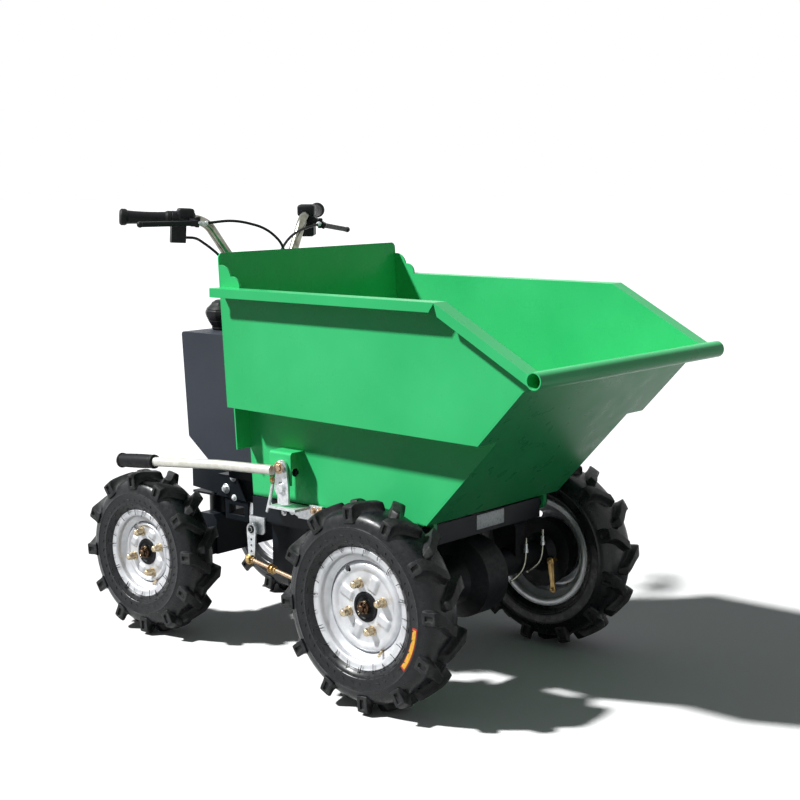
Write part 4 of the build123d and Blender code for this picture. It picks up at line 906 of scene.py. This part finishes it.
# Handlebar ends: switch blocks, sleeves, pivot knobs and cable adjusters. Their places are
# measured back from the bar's tip along the bar, and ahead of it along the brake lever.
BOX_HIGH = 801.0
SLEEVE_BACK, BUTTON_BACK, BLOCK_BACK, KNOB_BACK, ADJUSTER_BACK = 121, 150, 157, 181, 181.5
KNOB_REACH, ADJUSTER_REACH = 46, 45
for side_name, hand, droop in (("right", 1, 8.0), ("left", -1, 30.0)):
    bar_tip = at(-823, -hand * 351, BOX_HIGH + 298)
    bar_way = (bar_tip - at(-708, -hand * 178, BOX_HIGH + 287)).normalized()
    ahead = Vector((0, 0, hand)).cross(bar_way).normalized()
    above = bar_way.cross(ahead) * hand
    frame_turn = Matrix((ahead, bar_way, above)).transposed().to_4x4()
    reach = ahead * math.cos(math.radians(droop)) - above * math.sin(math.radians(droop))
    block = rounded_block(bar_tip - bar_way * BLOCK_BACK * MM + above * 12 * MM, (48, 42, 32), 8,
                          frame_turn)
    sleeve = turned(bar_tip - bar_way * SLEEVE_BACK * MM, -bar_way, above,
                    [(0, 12.9), (0, 19), (1.5, 20.4), (22, 20.4), (24, 19), (24, 12.9)], 36)
    knob = turned(bar_tip - bar_way * KNOB_BACK * MM + reach * KNOB_REACH * MM, above, ahead,
                  [(-12, 0), (-12, 4), (-11, 5.5), (6, 5.5), (7, 8), (13, 8), (15, 6.5),
                   (15, 0)], 24)
    button = turned(bar_tip - bar_way * BUTTON_BACK * MM + above * 24 * MM + ahead * 8 * MM, above,
                    ahead, [(-2, 0), (-2, 6), (2.5, 6), (3.6, 5), (3.8, 0)], 24)
    close(joined([block, sleeve, knob, button]), f"{side_name}_switch_block", moulded_plastic,
          "handlebar")
    adjuster = turned(bar_tip - bar_way * ADJUSTER_BACK * MM + reach * ADJUSTER_REACH * MM,
                      -bar_way, above,
                      [(0, 0), (0, 6.5), (8, 6.5), (9, 4.6), (20, 4.6), (21, 6), (26, 6), (27, 4),
                       (27, 0)], 12)
    close(adjuster, f"{side_name}_cable_adjuster", bright_zinc, "handlebar")


# ---------------------------------------------------------------- floor, light and camera
FLOOR_TONE, FLOOR_BOUNCE = "#F2F2F2", "#5C5C5C"
FLOOR_RADIUS = 60
AMBIENT_TINT, AMBIENT_STRENGTH = (0.93, 0.97, 1, 1), 0.13
SUN_TOWARDS, SUN_STRENGTH, SUN_SPREAD = (0.464, 0.499, -0.733), 5.3, 3.5


def rays_that_see(tree):
    """One for the rays that show the background: to the camera, in gloss and through glass."""
    rays = node(tree, "ShaderNodeLightPath")
    seen = rays.outputs["Is Camera Ray"]
    for kind in ("Is Glossy Ray", "Is Transmission Ray"):
        seen = node(tree, "ShaderNodeMath", links={0: seen, 1: rays.outputs[kind]},
                    operation="MAXIMUM").outputs[0]
    return seen


def floor_material():
    """Pale matt floor that keeps the shadow; it throws little light back up."""
    material, tree, _ = start_material("pale_studio_floor")
    tone = node(tree, "ShaderNodeMix", {6: linear(FLOOR_BOUNCE), 7: linear(FLOOR_TONE)},
                {0: rays_that_see(tree)}, data_type="RGBA").outputs[2]
    return finish_material(material, {"Roughness": 0.95, "Specular IOR Level": 0.0},
                           {"Base Color": tone})


let_go()
bpy.ops.mesh.primitive_circle_add(vertices=96, radius=FLOOR_RADIUS, fill_type="NGON",
                                location=(0, 0, 0))
floor = bpy.context.object
floor.name = "floor"
floor.data.materials.append(floor_material())

# The world is white to the rays that see it, and a faint cool fill to all others.
world = bpy.data.worlds.new("studio")
bpy.context.scene.world = world
world.use_nodes = True
sky = world.node_tree
sky.nodes.clear()
ambient = node(sky, "ShaderNodeBackground", {"Color": AMBIENT_TINT, "Strength": AMBIENT_STRENGTH})
backdrop = node(sky, "ShaderNodeBackground", {"Color": (1, 1, 1, 1), "Strength": 1.0})
whole = node(sky, "ShaderNodeMixShader",
             links={0: rays_that_see(sky), 1: ambient.outputs[0], 2: backdrop.outputs[0]})
node(sky, "ShaderNodeOutputWorld", links={"Surface": whole.outputs[0]})

lamp = bpy.data.lights.new("key_light", "SUN")
lamp.energy = SUN_STRENGTH
lamp.angle = math.radians(SUN_SPREAD)
sun = bpy.data.objects.new("key_light", lamp)
sun.rotation_euler = Vector(SUN_TOWARDS).to_track_quat("-Z", "Y").to_euler()
bpy.context.scene.collection.objects.link(sun)

CAMERA_AZIMUTH = 40.99
CAMERA_ELEVATION = 8.38
CAMERA_ROLL = -0.417
CAMERA_PLACE = (2.6090, -2.8991, 1.2154)
FOCAL_LENGTH = 70.86
SENSOR_WIDTH = 36
FAR_CLIP = 200
lens = bpy.data.cameras.new("camera")
lens.sensor_width = SENSOR_WIDTH
lens.lens = FOCAL_LENGTH
lens.clip_end = FAR_CLIP
camera = bpy.data.objects.new("camera", lens)
turn = (Matrix.Rotation(math.radians(CAMERA_AZIMUTH), 4, "Z")
        @ Matrix.Rotation(math.radians(90 - CAMERA_ELEVATION), 4, "X")
        @ Matrix.Rotation(math.radians(CAMERA_ROLL), 4, "Z"))
camera.matrix_world = Matrix.Translation(CAMERA_PLACE) @ turn
bpy.context.scene.collection.objects.link(camera)
bpy.context.scene.camera = camera
bpy.context.scene.view_settings.view_transform = "Standard"
